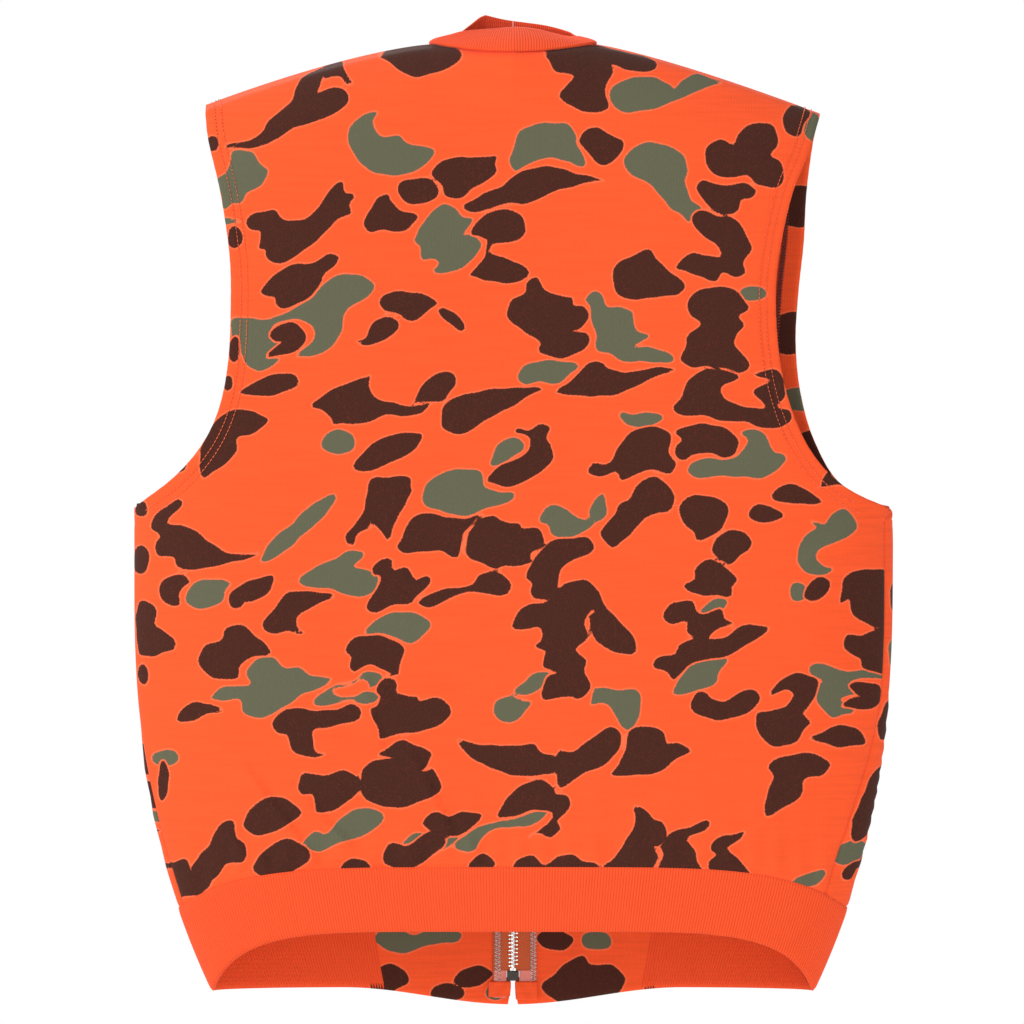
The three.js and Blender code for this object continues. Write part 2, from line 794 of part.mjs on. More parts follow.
// Stay tapes.
const stayOffset = clothThickness / 2 + gap + stayThickness / 2;
add(
  shell,
  "neck_tape",
  slab({
    columns: 12,
    rows: 2,
    thickness: stayThickness,
    offset: -stayOffset - facetSag,
    point: (u, v) => {
      const [x, z] = backNeck(THREE.MathUtils.lerp(-neckTapeHalf, neckTapeHalf, u));
      return backPoint(x, z - clothThickness - neckTapeWidth * (1 - v));
    },
  }),
  stayTape,
);
for (const { name, sign } of sides) {
  add(
    shell,
    `${name}_shoulder_tape`,
    slab({
      columns: 8,
      rows: 2,
      thickness: stayThickness,
      point: (u, v) => {
        const x = THREE.MathUtils.lerp(neckHalf + stayInset, shoulderReach - stayInset, u);
        const y = THREE.MathUtils.lerp(-shoulderTapeHalf, shoulderTapeHalf, v);
        return new THREE.Vector3(sign * x, y, ridge(x) - stayOffset - facetSag);
      },
    }),
    stayTape,
  );
}

export default vest;
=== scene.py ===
"""Looks of a blaze orange hunting vest: printed fleece, rib trims and a metal zip.

The vest hangs upright with its back towards -Y. Shapes are worked out in millimetres on the
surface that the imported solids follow, and turned to metres when a mesh is made.
"""

import json
import logging
import math
from dataclasses import dataclass
from enum import Enum

import bmesh
import bpy
import numpy as np
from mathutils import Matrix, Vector


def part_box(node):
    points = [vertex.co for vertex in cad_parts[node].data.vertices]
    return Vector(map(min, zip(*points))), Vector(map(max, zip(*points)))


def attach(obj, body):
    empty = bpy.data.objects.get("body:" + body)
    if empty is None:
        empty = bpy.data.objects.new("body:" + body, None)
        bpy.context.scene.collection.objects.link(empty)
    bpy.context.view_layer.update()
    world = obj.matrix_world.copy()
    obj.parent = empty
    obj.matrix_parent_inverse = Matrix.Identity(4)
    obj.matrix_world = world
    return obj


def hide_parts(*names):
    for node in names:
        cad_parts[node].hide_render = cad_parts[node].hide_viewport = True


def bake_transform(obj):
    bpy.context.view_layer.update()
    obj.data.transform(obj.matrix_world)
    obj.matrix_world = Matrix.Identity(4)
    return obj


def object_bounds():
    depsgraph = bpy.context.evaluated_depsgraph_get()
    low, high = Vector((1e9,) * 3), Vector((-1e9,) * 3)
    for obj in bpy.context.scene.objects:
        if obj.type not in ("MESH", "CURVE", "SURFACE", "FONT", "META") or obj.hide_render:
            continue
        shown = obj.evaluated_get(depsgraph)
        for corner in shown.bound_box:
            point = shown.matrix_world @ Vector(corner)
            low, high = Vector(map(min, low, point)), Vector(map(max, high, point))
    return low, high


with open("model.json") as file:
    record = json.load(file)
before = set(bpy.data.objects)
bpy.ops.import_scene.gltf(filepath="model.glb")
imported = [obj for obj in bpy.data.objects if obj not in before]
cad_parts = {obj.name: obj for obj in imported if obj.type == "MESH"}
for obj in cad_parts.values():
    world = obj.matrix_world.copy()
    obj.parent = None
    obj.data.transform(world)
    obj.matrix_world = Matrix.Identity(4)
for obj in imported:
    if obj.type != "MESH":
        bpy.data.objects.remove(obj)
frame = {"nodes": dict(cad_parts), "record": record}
cad_box = [list(corner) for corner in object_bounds()]

MM = 0.001
log = logging.getLogger("vest")
Array = np.ndarray


class Side(Enum):
    """A side of the vest; the value is the sign of X."""

    LEFT = -1
    RIGHT = 1

    @property
    def word(self) -> str:
        """The side's name as the nodes spell it."""
        return self.name.lower()


def node_box(node: str) -> tuple[Array, Array]:
    """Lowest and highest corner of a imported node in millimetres."""
    low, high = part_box(node)
    return np.array(low) / MM, np.array(high) / MM


def lerp(a: Array | float, b: Array | float, t: Array | float) -> Array | float:
    """Value a share t of the way from a to b."""
    return a + (b - a) * t


def smooth(low: float, high: float, value: Array | float) -> Array | float:
    """Smooth step from 0 at low to 1 at high."""
    t = np.clip((value - low) / (high - low), 0, 1)
    return t * t * (3 - 2 * t)


def curve_through(points: list[tuple[float, float]], count: int, closed: bool = False) -> Array:
    """Smooth curve through given points, evenly spaced along its length.

    Args:
        points: The points, in order.
        count: How many points to return.
        closed: Whether the last point joins the first.

    Returns:
        An array of count points.
    """
    p = np.array(points, float)
    if closed:
        p = np.vstack([p[-1], p, p[0], p[1]])
    else:
        p = np.vstack([2 * p[0] - p[1], p, 2 * p[-1] - p[-2]])
    t = np.linspace(0, 1, 24, endpoint=False)[:, None]
    spans = []
    for a, b, c, d in zip(p, p[1:], p[2:], p[3:]):
        spans.append(
            0.5 * (2 * b + (c - a) * t + (2 * a - 5 * b + 4 * c - d) * t**2 + (3 * b - a - 3 * c + d) * t**3)
        )
    line = np.vstack([*spans, p[-2][None]])
    run = np.concatenate([[0], np.cumsum(np.linalg.norm(np.diff(line, axis=0), axis=1))])
    at = np.linspace(0, run[-1], count, endpoint=not closed)
    return np.stack([np.interp(at, run, line[:, k]) for k in range(p.shape[1])], axis=1)


# ---------------------------------------------------------------- materials

WAVE_TURNS = 0.16  # wave texture scale times period, in metres, that draws two bands to a period


def linear(colour: str, shade: float = 1.0) -> tuple[float, float, float, float]:
    """Linear RGBA of an sRGB hex colour, darkened to a share of its light."""
    channels = [int(colour[i : i + 2], 16) / 255 for i in (1, 3, 5)]
    return (*[shade * (c / 12.92 if c <= 0.04045 else ((c + 0.055) / 1.055) ** 2.4) for c in channels], 1.0)


def wire(tree: bpy.types.NodeTree, node: bpy.types.Node, inputs: dict) -> None:
    """Sets a node's inputs, by name or number, to values or to other nodes' sockets."""
    for key, value in inputs.items():
        if isinstance(value, bpy.types.NodeSocket):
            tree.links.new(value, node.inputs[key])
        else:
            node.inputs[key].default_value = value


def add(
    tree: bpy.types.NodeTree, kind: str, inputs: dict | None = None, out: int | str = 0, **settings
) -> bpy.types.NodeSocket:
    """Adds a node with its settings and its inputs.

    Args:
        tree: The material's node tree.
        kind: The node type without its ShaderNode prefix.
        inputs: Values or sockets by input name or number.
        out: Name or number of the output to give back.
        settings: Attributes to set on the node.

    Returns:
        The output socket.
    """
    node = tree.nodes.new("ShaderNode" + kind)
    for key, value in settings.items():
        setattr(node, key, value)
    wire(tree, node, inputs or {})
    return node.outputs[out]


@dataclass(frozen=True)
class Finish:
    """What every finish has: a name, a colour, and a way to make its material."""

    name: str
    colour: str

    def material(self) -> bpy.types.Material:
        """The finish's material, made once."""
        known = bpy.data.materials.get(self.name)
        if known:
            return known
        made = bpy.data.materials.new(self.name)
        made.use_nodes = True
        wire(made.node_tree, made.node_tree.nodes["Principled BSDF"], self.dress(made.node_tree))
        return made

    def dress(self, tree: bpy.types.NodeTree) -> dict:
        """Adds the finish's nodes and returns the principled shader's inputs."""
        raise NotImplementedError


@dataclass(frozen=True)
class PrintedFleece(Finish):
    """Fleece-backed jersey, knitted, dyed and screen printed.

    The fine knit scatters light evenly, so it reads as flat, strong orange with a soft nap, faint
    slubs that run across, and print whose pigment breaks up a little on the loops.
    """

    brown: str = "#44231A"
    brown_fleck: str = "#622B1F"
    grey_green: str = "#5B5B46"
    green_fleck: str = "#676752"
    halo: str = "#FF6E45"
    outline: float = 1.1  # millimetres of paler ground left round each printed shape
    wale: float = 1.1  # millimetres between columns of loops, drawn coarser than real so that it shows
    slub: float = 2.2  # millimetres across a slub, which is many times as long

    def dress(self, tree: bpy.types.NodeTree) -> dict:
        """Orange ground, pale outline, then the grey-green and brown print over it."""
        flat = add(tree, "TexCoord", out="Object")
        along = add(tree, "Mapping", {"Vector": flat, "Scale": (0.06, 0.06, 1)})
        slub = add(tree, "TexNoise", {"Vector": along, "Scale": 1 / (self.slub * MM), "Detail": 3})
        cloud = add(tree, "TexNoise", {"Vector": flat, "Scale": 1 / (60 * MM), "Detail": 2})
        nap = add(tree, "TexNoise", {"Vector": flat, "Scale": 1 / (self.wale * MM), "Detail": 3})
        share = add(tree, "Math", {0: slub, 1: 0.45}, operation="SUBTRACT")
        share = add(tree, "Math", {0: share, 1: 2.1}, operation="MULTIPLY")
        share = add(tree, "Math", {0: cloud, 1: 0.25, 2: share}, operation="MULTIPLY_ADD")
        share = add(tree, "Clamp", {0: share})
        colour = add(
            tree, "Mix", {0: share, 6: linear(self.colour), 7: linear(self.colour, 0.86)}, 2, data_type="RGBA"
        )
        rough = add(tree, "Math", {0: nap, 1: 0.5}, operation="SUBTRACT")
        ragged = add(tree, "Math", {0: rough, 1: 1.3}, operation="MULTIPLY")
        fleck = add(tree, "Clamp", {0: add(tree, "Math", {0: rough, 1: 3.5}, operation="MULTIPLY")})
        for name, tone, other, mottle in (
            ("green", self.grey_green, self.green_fleck, nap),
            ("brown", self.brown, self.brown_fleck, fleck),
        ):
            distance = add(tree, "Attribute", out="Fac", attribute_name=name)
            distance = add(tree, "Math", {0: distance, 1: ragged}, operation="ADD")
            ink = add(tree, "Mix", {0: mottle, 6: linear(tone), 7: linear(other)}, 2, data_type="RGBA")
            for grow, layer in ((self.outline, linear(self.halo)), (0.0, ink)):
                limits = {"Value": distance, 1: grow - 0.35, 2: grow + 0.35, 3: 1.0, 4: 0.0}
                inside = add(tree, "MapRange", limits)
                colour = add(tree, "Mix", {0: inside, 6: colour, 7: layer}, 2, data_type="RGBA")
        wales = {"Vector": flat, "Scale": WAVE_TURNS / (self.wale * MM), "Distortion": 1.5, "Detail": 1.0}
        wales = add(tree, "TexWave", wales, "Fac", bands_direction="X")
        height = add(tree, "Math", {0: wales, 1: 0.35, 2: nap}, operation="MULTIPLY_ADD")
        return {
            "Base Color": colour,
            "Roughness": 0.96,
            "Specular IOR Level": 0.12,
            "Sheen Weight": 0.04,
            "Sheen Roughness": 0.6,
            "Normal": add(tree, "Bump", {"Height": height, "Distance": 0.3 * MM, "Strength": 0.6}),
        }


@dataclass(frozen=True)
class BrushedFleece(Finish):
    """The unprinted back of the cloth, its loops brushed up: matt, paler and fuzzy."""

    tuft: float = 2.5  # millimetres across a tuft

    def dress(self, tree: bpy.types.NodeTree) -> dict:
        """Soft mottled colour over a lumpy nap."""
        flat = add(tree, "TexCoord", out="Object")
        tufts = add(tree, "TexNoise", {"Vector": flat, "Scale": 1 / (self.tuft * MM), "Detail": 4})
        tones = {0: tufts, 6: linear(self.colour), 7: linear(self.colour, 0.8)}
        return {
            "Base Color": add(tree, "Mix", tones, 2, data_type="RGBA"),
            "Roughness": 1.0,
            "Specular IOR Level": 0.08,
            "Sheen Weight": 0.25,
            "Normal": add(tree, "Bump", {"Height": tufts, "Distance": 0.6 * MM, "Strength": 0.6}),
        }


@dataclass(frozen=True)
class RibKnit(Finish):
    """One by one rib, knitted double: deep grooves, with painted shade that keeps them darker than the ribs between
    them.
    """

    loop: float = 1.6  # millimetres from loop to loop along a rib

    def dress(self, tree: bpy.types.NodeTree) -> dict:
        """Painted shade, darker where the groove attribute is high, with small loops along each rib."""
        groove = add(tree, "Attribute", out="Fac", attribute_name="groove")
        flat = add(tree, "TexCoord", out="Object")
        tone = add(tree, "TexNoise", {"Vector": flat, "Scale": 1 / (9 * MM), "Detail": 3})
        share = add(tree, "Math", {0: tone, 1: 0.18}, operation="MULTIPLY")
        # painted shade: the grooves are painted darker, towards 0.62 of the rib colour, with a little random tone
        # from the noise
        share = add(tree, "Math", {0: groove, 1: 0.5, 2: share}, operation="MULTIPLY_ADD")
        tones = {0: share, 6: linear(self.colour), 7: linear(self.colour, 0.62)}
        loops = {"Vector": flat, "Scale": WAVE_TURNS / (self.loop * MM), "Distortion": 2.0, "Detail": 2.0}
        loops = add(tree, "TexWave", loops, "Fac", bands_direction="Z")
        return {
            "Base Color": add(tree, "Mix", tones, 2, data_type="RGBA"),
            "Roughness": 0.95,
            "Specular IOR Level": 0.12,
            "Sheen Weight": 0.12,
            "Normal": add(tree, "Bump", {"Height": loops, "Distance": 0.15 * MM, "Strength": 0.5}),
        }


@dataclass(frozen=True)
class WovenTape(Finish):
    """Woven polyester tape in a fine herringbone: slightly shiny threads at a slant."""

    thread: float = 0.8  # millimetres from thread to thread

    def dress(self, tree: bpy.types.NodeTree) -> dict:
        """Crossing bands of thread, with a painted highlight on their crowns and painted shade between them."""
        flat = add(tree, "TexCoord", out="Object")
        slanted = add(tree, "Mapping", {"Vector": flat, "Rotation": (0, 0.7, 0)})
        bands = {"Vector": slanted, "Scale": WAVE_TURNS / (self.thread * MM), "Distortion": 0.6}
        bands = add(tree, "TexWave", bands, "Fac", bands_direction="X")
        # painted shade between the threads, down to 0.6 of the colour, and painted highlight on their crowns
        tones = {0: bands, 6: linear(self.colour, 0.6), 7: linear(self.colour)}
        return {
            "Base Color": add(tree, "Mix", tones, 2, data_type="RGBA"),
            "Roughness": 0.7,
            "Specular IOR Level": 0.3,
            "Normal": add(tree, "Bump", {"Height": bands, "Distance": 0.15 * MM, "Strength": 0.7}),
        }


@dataclass(frozen=True)
class Thread(Finish):
    """Spun polyester sewing thread: two plies twisted together, with a slight lustre."""

    twist: float = 0.7  # millimetres from ply to ply

    def dress(self, tree: bpy.types.NodeTree) -> dict:
        """Twisted plies as slanting bands, with painted shade between the plies."""
        flat = add(tree, "TexCoord", out="Object")
        slanted = add(tree, "Mapping", {"Vector": flat, "Rotation": (0.5, 0.8, 0.3)})
        plies = {"Vector": slanted, "Scale": WAVE_TURNS / (self.twist * MM), "Distortion": 1.0}
        plies = add(tree, "TexWave", plies, "Fac")
        # painted shade between the plies, down to 0.7 of the colour
        tones = {0: plies, 6: linear(self.colour, 0.7), 7: linear(self.colour)}
        return {
            "Base Color": add(tree, "Mix", tones, 2, data_type="RGBA"),
            "Roughness": 0.6,
            "Sheen Weight": 0.2,
            "Normal": add(tree, "Bump", {"Height": plies, "Distance": 0.08 * MM, "Strength": 0.6}),
        }


@dataclass(frozen=True)
class StampedMetal(Finish):
    """Stamped and tumbled metal: bright, with rounded glints, fine scuffs and patches of darker tone."""

    roughness: float = 0.28
    scuff: float = 0.5  # millimetres across a scuff

    def dress(self, tree: bpy.types.NodeTree) -> dict:
        """Metal whose roughness and tone wander with the scuffs."""
        flat = add(tree, "TexCoord", out="Object")
        scuffs = add(tree, "TexNoise", {"Vector": flat, "Scale": 1 / (self.scuff * MM), "Detail": 4})
        wear = add(tree, "TexNoise", {"Vector": flat, "Scale": 1 / (4 * MM), "Detail": 2})
        rough = {0: scuffs, 1: 0.25, 2: self.roughness - 0.1}
        tones = {0: wear, 6: linear(self.colour), 7: linear(self.colour, 0.7)}
        return {
            "Base Color": add(tree, "Mix", tones, 2, data_type="RGBA"),
            "Metallic": 1.0,
            "Roughness": add(tree, "Math", rough, operation="MULTIPLY_ADD"),
            "Normal": add(tree, "Bump", {"Height": scuffs, "Distance": 0.03 * MM, "Strength": 0.5}),
        }


@dataclass(frozen=True)
class WeldedFilm(Finish):
    """Thin translucent polyester film, heat welded: glossy, with the weld's faint ripple."""

    # painted shade: a darker tone laid on with the weld ripple
    hollow: str = "#C94B2C"

    def dress(self, tree: bpy.types.NodeTree) -> dict:
        """Film gloss over a rippled surface, with painted shade that follows the ripple."""
        flat = add(tree, "TexCoord", out="Object")
        ripple = add(tree, "TexNoise", {"Vector": flat, "Scale": 1 / (1.5 * MM), "Detail": 2})
        # painted shade mixed in by the ripple noise
        tones = {0: ripple, 6: linear(self.colour), 7: linear(self.hollow)}
        return {
            "Base Color": add(tree, "Mix", tones, 2, data_type="RGBA"),
            "Roughness": 0.3,
            "IOR": 1.57,
            "Normal": add(tree, "Bump", {"Height": ripple, "Distance": 0.1 * MM, "Strength": 0.4}),
        }


PRINT = PrintedFleece("printed_fleece_jersey", "#FF5B2D")
FLEECE = BrushedFleece("brushed_fleece_back", "#D9694A")
RIB = RibKnit("knitted_rib", "#FF592D")
RIB_INSIDE = RibKnit("knitted_rib_inside", "#FF5A38")
TAPE = WovenTape("woven_zip_tape", "#DC6434")
STAY = WovenTape("woven_stay_tape", "#F0682F", 1.2)
ORANGE_THREAD = Thread("orange_thread", "#FF6A30")
WHITE_THREAD = Thread("white_thread", "#FFFBF8")
PINK_THREAD = Thread("pink_thread", "#FFB8A8")
RED_THREAD = Thread("red_thread", "#E0402C")
BLACK_THREAD = Thread("black_thread", "#2A1512")
BRIGHT = StampedMetal("tumbled_aluminium", "#D8D8D4")
DARK = StampedMetal("blackened_steel", "#3B3633", 0.35)
FILM = WeldedFilm("welded_polyester_film", "#E0573A")


# ---------------------------------------------------------------- meshes


@dataclass
class Build:
    """Vertices and faces gathered for one mesh, in millimetres."""

    vertices: list[Array]
    faces: list[Array]
    slots: list[Array]
    values: dict[str, list[Array]]
    count: int = 0

    @classmethod
    def empty(cls) -> "Build":
        """A build with nothing in it."""
        return cls([], [], [], {})

    def add(self, vertices: Array, faces: Array, slot: int = 0, **values: Array) -> None:
        """Adds a block of vertices and quads.

        Args:
            vertices: Points, one per row.
            faces: Corner numbers within this block, four per row.
            slot: Material slot of the block.
            values: Float attributes, one value per vertex.
        """
        self.vertices.append(vertices)
        self.faces.append(faces + self.count)
        self.slots.append(np.full(len(faces), slot))
        for key, value in values.items():
            self.values.setdefault(key, []).append(value)
        self.count += len(vertices)

    def piece(self, name: str, finishes: list[Finish], soft: bool = True) -> bpy.types.Object:
        """Makes the object, with smooth faces and its materials."""
        mesh = bpy.data.meshes.new(name)
        vertices = np.vstack(self.vertices) * MM
        faces = np.vstack(self.faces)
        mesh.vertices.add(len(vertices))
        mesh.vertices.foreach_set("co", vertices.astype(np.float32).ravel())
        mesh.loops.add(faces.size)
        mesh.loops.foreach_set("vertex_index", faces.astype(np.int32).ravel())
        mesh.polygons.add(len(faces))
        mesh.polygons.foreach_set("loop_start", np.arange(0, faces.size, 4, dtype=np.int32))
        mesh.update(calc_edges=True)
        mesh.polygons.foreach_set("material_index", np.concatenate(self.slots).astype(np.int32))
        mesh.polygons.foreach_set("use_smooth", np.full(len(faces), soft))
        for key, blocks in self.values.items():
            attribute = mesh.attributes.new(key, "FLOAT", "POINT")
            attribute.data.foreach_set("value", np.concatenate(blocks).astype(np.float32))
        mesh.validate()
        made = bpy.data.objects.new(name, mesh)
        bpy.context.scene.collection.objects.link(made)
        for finish in finishes:
            mesh.materials.append(finish.material())
        face_out(mesh)
        return made


def face_out(mesh: bpy.types.Mesh) -> None:
    """Turns the faces of closed shells outwards."""
    work = bmesh.new()
    work.from_mesh(mesh)
    bmesh.ops.recalc_face_normals(work, faces=work.faces)
    work.to_mesh(mesh)
    work.free()


def grid_quads(rows: int, columns: int) -> Array:
    """Quads of a grid of rows by columns of vertices."""
    j, i = np.meshgrid(np.arange(rows - 1), np.arange(columns - 1), indexing="ij")
    a = (j * columns + i).ravel()
    return np.stack([a, a + 1, a + columns + 1, a + columns], axis=1)


def grid_normals(points: Array) -> Array:
    """Unit normals of a grid of points, pointing to the left of its rows' run."""
    du = np.gradient(points, axis=1)
    dv = np.gradient(points, axis=0)
    normal = np.cross(du, dv)
    return normal / np.maximum(np.linalg.norm(normal, axis=2, keepdims=True), 1e-9)


def sheet_between(build: Build, outer: Array, inner: Array, slots: tuple, **values: Array) -> None:
    """Adds a closed sheet between two grids of the same size.

    Args:
        build: Where the sheet goes.
        outer: Outer points, rows by columns by three.
        inner: Inner points.
        slots: Material slots of the outer face, the inner face and the rim; a slot may vary by quad.
        values: Float attributes on the grid, the same on both faces or one grid for each.
    """
    rows, columns = outer.shape[:2]
    quads = grid_quads(rows, columns)
    total = rows * columns
    points = np.vstack([outer.reshape(-1, 3), inner.reshape(-1, 3)])
    doubled = {key: np.broadcast_to(value, (2, rows, columns)).ravel() for key, value in values.items()}
    ring = np.concatenate(
        [
            np.arange(columns),
            np.arange(1, rows) * columns + columns - 1,
            np.arange(columns - 2, -1, -1) + (rows - 1) * columns,
            np.arange(rows - 2, 0, -1) * columns,
        ]
    )
    after = np.roll(ring, -1)
    rim = np.stack([ring, after, after + total, ring + total], axis=1)
    build.add(points, quads, slots[0], **doubled)
    build.faces.append(quads[:, ::-1] + total + build.count - len(points))
    build.slots.append(np.full(len(quads), slots[1]))
    build.faces.append(rim + build.count - len(points))
    build.slots.append(np.full(len(rim), slots[2]))


def tube(build: Build, path: Array, radius: float, sides: int = 5, slot: int = 0) -> None:
    """Adds a closed round tube along a path."""
    run = np.gradient(path, axis=0)
    run /= np.maximum(np.linalg.norm(run, axis=1, keepdims=True), 1e-9)
    up = np.where(np.abs(run[:, 2:]) > 0.9, [[0, 1, 0]], [[0, 0, 1]])
    across = np.cross(run, up)
    across /= np.linalg.norm(across, axis=1, keepdims=True)
    other = np.cross(run, across)
    turn = np.arange(sides) * 2 * math.pi / sides
    taper = np.ones(len(path))
    taper[[0, -1]] = 0.05
    ring = across[:, None] * np.cos(turn)[None, :, None] + other[:, None] * np.sin(turn)[None, :, None]
    points = path[:, None] + ring * (radius * taper)[:, None, None]
    quads = grid_quads(len(path), sides)
    j = np.arange(len(path) - 1) * sides
    seam = np.stack([j + sides - 1, j, j + sides, j + 2 * sides - 1], axis=1)
    build.add(points.reshape(-1, 3), np.vstack([quads, seam]), slot)


def stitches(build: Build, path: Array, normals: Array, length: float = 2.6, pitch: float = 3.2) -> None:
    """Adds a row of stitches that dip into the cloth at both ends.

    Args:
        build: Where the stitches go.
        path: Points along the seam, on the cloth.
        normals: Outward unit normals at those points.
        length: Length of a stitch.
        pitch: Distance from one stitch to the next.
    """
    run = np.concatenate([[0], np.cumsum(np.linalg.norm(np.diff(path, axis=0), axis=1))])
    for start in np.arange(0.5, run[-1] - length, pitch):
        at = start + length * np.array([0, 0.12, 0.5, 0.88, 1])
        spot = np.stack([np.interp(at, run, path[:, k]) for k in range(3)], axis=1)
        lift = np.stack([np.interp(at, run, normals[:, k]) for k in range(3)], axis=1)
        tube(build, spot + lift * np.array([-0.3, 0.1, 0.32, 0.1, -0.3])[:, None], 0.34, 5)


def overlock(build: Build, path: Array, across: Array, width: float, pitch: float, slot: int) -> None:
    """Adds an overlock row: needle line, edge line and slanting loops between them.

    Args:
        build: Where the threads go.
        path: Points along the needle line.
        across: Unit vectors from the needle line to the raw edge.
        width: Distance from the needle line to the raw edge.
        pitch: Distance between loops.
        slot: Material slot of the threads.
    """
    run = np.concatenate([[0], np.cumsum(np.linalg.norm(np.diff(path, axis=0), axis=1))])
    loops = int(run[-1] / pitch)
    beat = np.arange(loops * 4 + 1)
    at = beat * run[-1] / (loops * 4)
    spot = np.stack([np.interp(at, run, path[:, k]) for k in range(3)], axis=1)
    reach = np.stack([np.interp(at, run, across[:, k]) for k in range(3)], axis=1)
    swing = np.array([0, 0.55, 1.0, 0.45])[beat % 4]
    tube(build, spot + reach * (swing * width)[:, None], 0.42, 4, slot)


# ---------------------------------------------------------------- the surface that the cloth follows


@dataclass(frozen=True)
class Crease:
    """A fold in the back cloth, from one point to another, in millimetres."""

    start: tuple[float, float]
    end: tuple[float, float]
    depth: float
    width: float


CREASES = [
    Crease((-203, -529), (-141, -611), 3.0, 12),
    Crease((-162, -551), (-116, -596), 2.6, 10),
    Crease((-109, -462), (-104, -494), 1.6, 7),
    Crease((-106, -492), (-96, -520), 2.4, 8),
    Crease((-79, -519), (-68, -534), 2.0, 8),
    Crease((-70, -531), (-43, -588), 2.8, 10),
    Crease((-213, -579), (-197, -603), 2.0, 8),
    Crease((-190, -599), (-176, -616), 2.2, 7),
    Crease((-34, -578), (-26, -606), 1.4, 6),
    Crease((60, -580), (66, -606), 1.2, 6),
    Crease((150, -606), (226, -540), 2.0, 12),
    Crease((-252, -344), (-205, -376), 1.4, 10),
    Crease((210, -384), (256, -350), 1.2, 10),
    Crease((-52, 3), (-28, -1), 1.2, 5),
]


@dataclass
class Drape:
    """The shape in which the cloth hangs, in millimetres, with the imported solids' proportions."""

    chest_half: float
    front_depth: float
    back_depth: float
    hem_half: float = 225
    back_hem_depth: float = 38
    flat_share: float = 0.25
    taper_start: float = 400
    taper_power: float = 2.4
    neck_half: float = 62
    neck_top: float = 8
    neck_drop: float = 50
    neck_ridge: float = 20
    shoulder_reach: float = 231
    shoulder_round: float = 70
    underarm: float = -341
    seam_side: float = -641
    hem_side: float = -704
    back_seam_mid: float = -609.5
    back_hem_mid: float = -658
    front_dip: float = 13
    front_dip_reach: float = 130

    @classmethod
    def from_frame(cls) -> "Drape":
        """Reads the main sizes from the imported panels, whose cloth is 2 mm thick."""
        low, high = node_box("back_panel")
        front = node_box("left_front_flap")[1]
        return cls(high[0] - 1, front[1] - 1, -low[1] - 1)

    def half_width(self, z: Array | float) -> Array | float:
        """Half width of the garment at a height."""
        run = np.maximum(0, -z - self.taper_start) / (-self.hem_side - self.taper_start)
        return self.chest_half - (self.chest_half - self.hem_half) * run**self.taper_power

    def ridge(self, x: Array | float) -> Array | float:
        """Height of the shoulder line, a little higher on the left."""
        x = np.asarray(x, float)
        out = np.maximum(0, np.abs(x) - self.neck_half) / (self.shoulder_reach - self.neck_half)
        drop = np.where(x < 0, 45.5 * out**1.38, 52 * out**1.22)
        inside = np.maximum(0, 1 - np.abs(x) / self.neck_half) * self.neck_ridge
        return self.neck_top + inside - drop

    def fullness(self, x: Array, z: Array) -> Array:
        """Share of the full depth: 1 in the flat middle, 0 at a side or shoulder seam."""
        out = np.abs(x) / self.half_width(z)
        side = np.clip((out - self.flat_share) / (1 - self.flat_share), 0, 1)
        over = np.clip((self.ridge(x) - z) / self.shoulder_round, 0, 1)
        return np.sqrt(1 - side**3) * np.sqrt(1 - (1 - over) ** 2)

    def front(self, x: Array, z: Array) -> Array:
        """Points of the front cloth."""
        x, z = np.broadcast_arrays(np.asarray(x, float), np.asarray(z, float))
        full = self.fullness(x, z)
        away = smooth(16, 60, np.abs(x)) * smooth(0, 0.6, full)
        ripple = 1.3 * np.sin(x / 47 + z / 90 + 1) * np.sin(z / 61 - x / 120) * away
        seam = self.front_band(x, 1)
        ripple = (ripple - self.gathers(x, z - seam, 4) * away) * smooth(-1, 16, z - seam)
        return np.stack([x, self.front_depth * full + ripple, z], axis=-1)

    def back(self, x: Array, z: Array) -> Array:
        """Points of the back cloth, with its creases and the gathers above the waistband."""
        x, z = np.broadcast_arrays(np.asarray(x, float), np.asarray(z, float))
        full = self.fullness(x, z)
        low = smooth(self.taper_start, -self.seam_side, -z)
        depth = lerp(self.back_depth, self.back_hem_depth, low)
        away = smooth(0, 0.6, full)
        fold = 1.8 * np.sin(x / 52 + 0.7) * np.sin(z / 83 + x / 140 + 0.4) * away
        for crease in CREASES:
            fold = fold + self.crease(crease, x, z) * away
        share = np.clip(x / self.half_width(z), -1, 1)
        above = z - self.back_band(share, 1)
        fold = lerp(self.band_wave(x, z), fold + self.gathers(x, above, 0) * away, smooth(-1, 9, above))
        fold = fold - 0.6 * smooth(0.5, -1.5, above)
        return np.stack([x, -depth * full - fold, z], axis=-1)

    def band_wave(self, x: Array, z: Array) -> Array:
        """Slow wave of the back waistband, which the cloth follows where it is sewn on."""
        return 0.8 * np.sin(x / 37 + 0.6) * self.fullness(x, z)

    @staticmethod
    def crease(crease: Crease, x: Array, z: Array) -> Array:
        """Height of a crease: a lap that drops sharply on one side, fading at both ends."""
        a, b = np.array(crease.start), np.array(crease.end)
        run = b - a
        length = np.hypot(*run)
        along = ((x - a[0]) * run[0] + (z - a[1]) * run[1]) / length**2
        off = ((x - a[0]) * -run[1] + (z - a[1]) * run[0]) / length
        fade = smooth(-0.15, 0.25, along) * (1 - smooth(0.75, 1.15, along))
        return crease.depth * fade * (1 - smooth(-1.2, 1.2, off)) * np.exp(np.minimum(off, 0) / crease.width)

    @staticmethod
    def gathers(x: Array, above: Array, phase: float) -> Array:
        """Small upright puckers where the panel is eased into the waistband."""
        fade = np.exp(-np.maximum(above, 0) / 22) * smooth(0, 5, above)
        wave = np.sin(x / 3.4 + 2.2 * np.sin(x / 31 + phase)) + 0.7 * np.sin(x / 7.1 + phase)
        return 1.0 * fade * wave

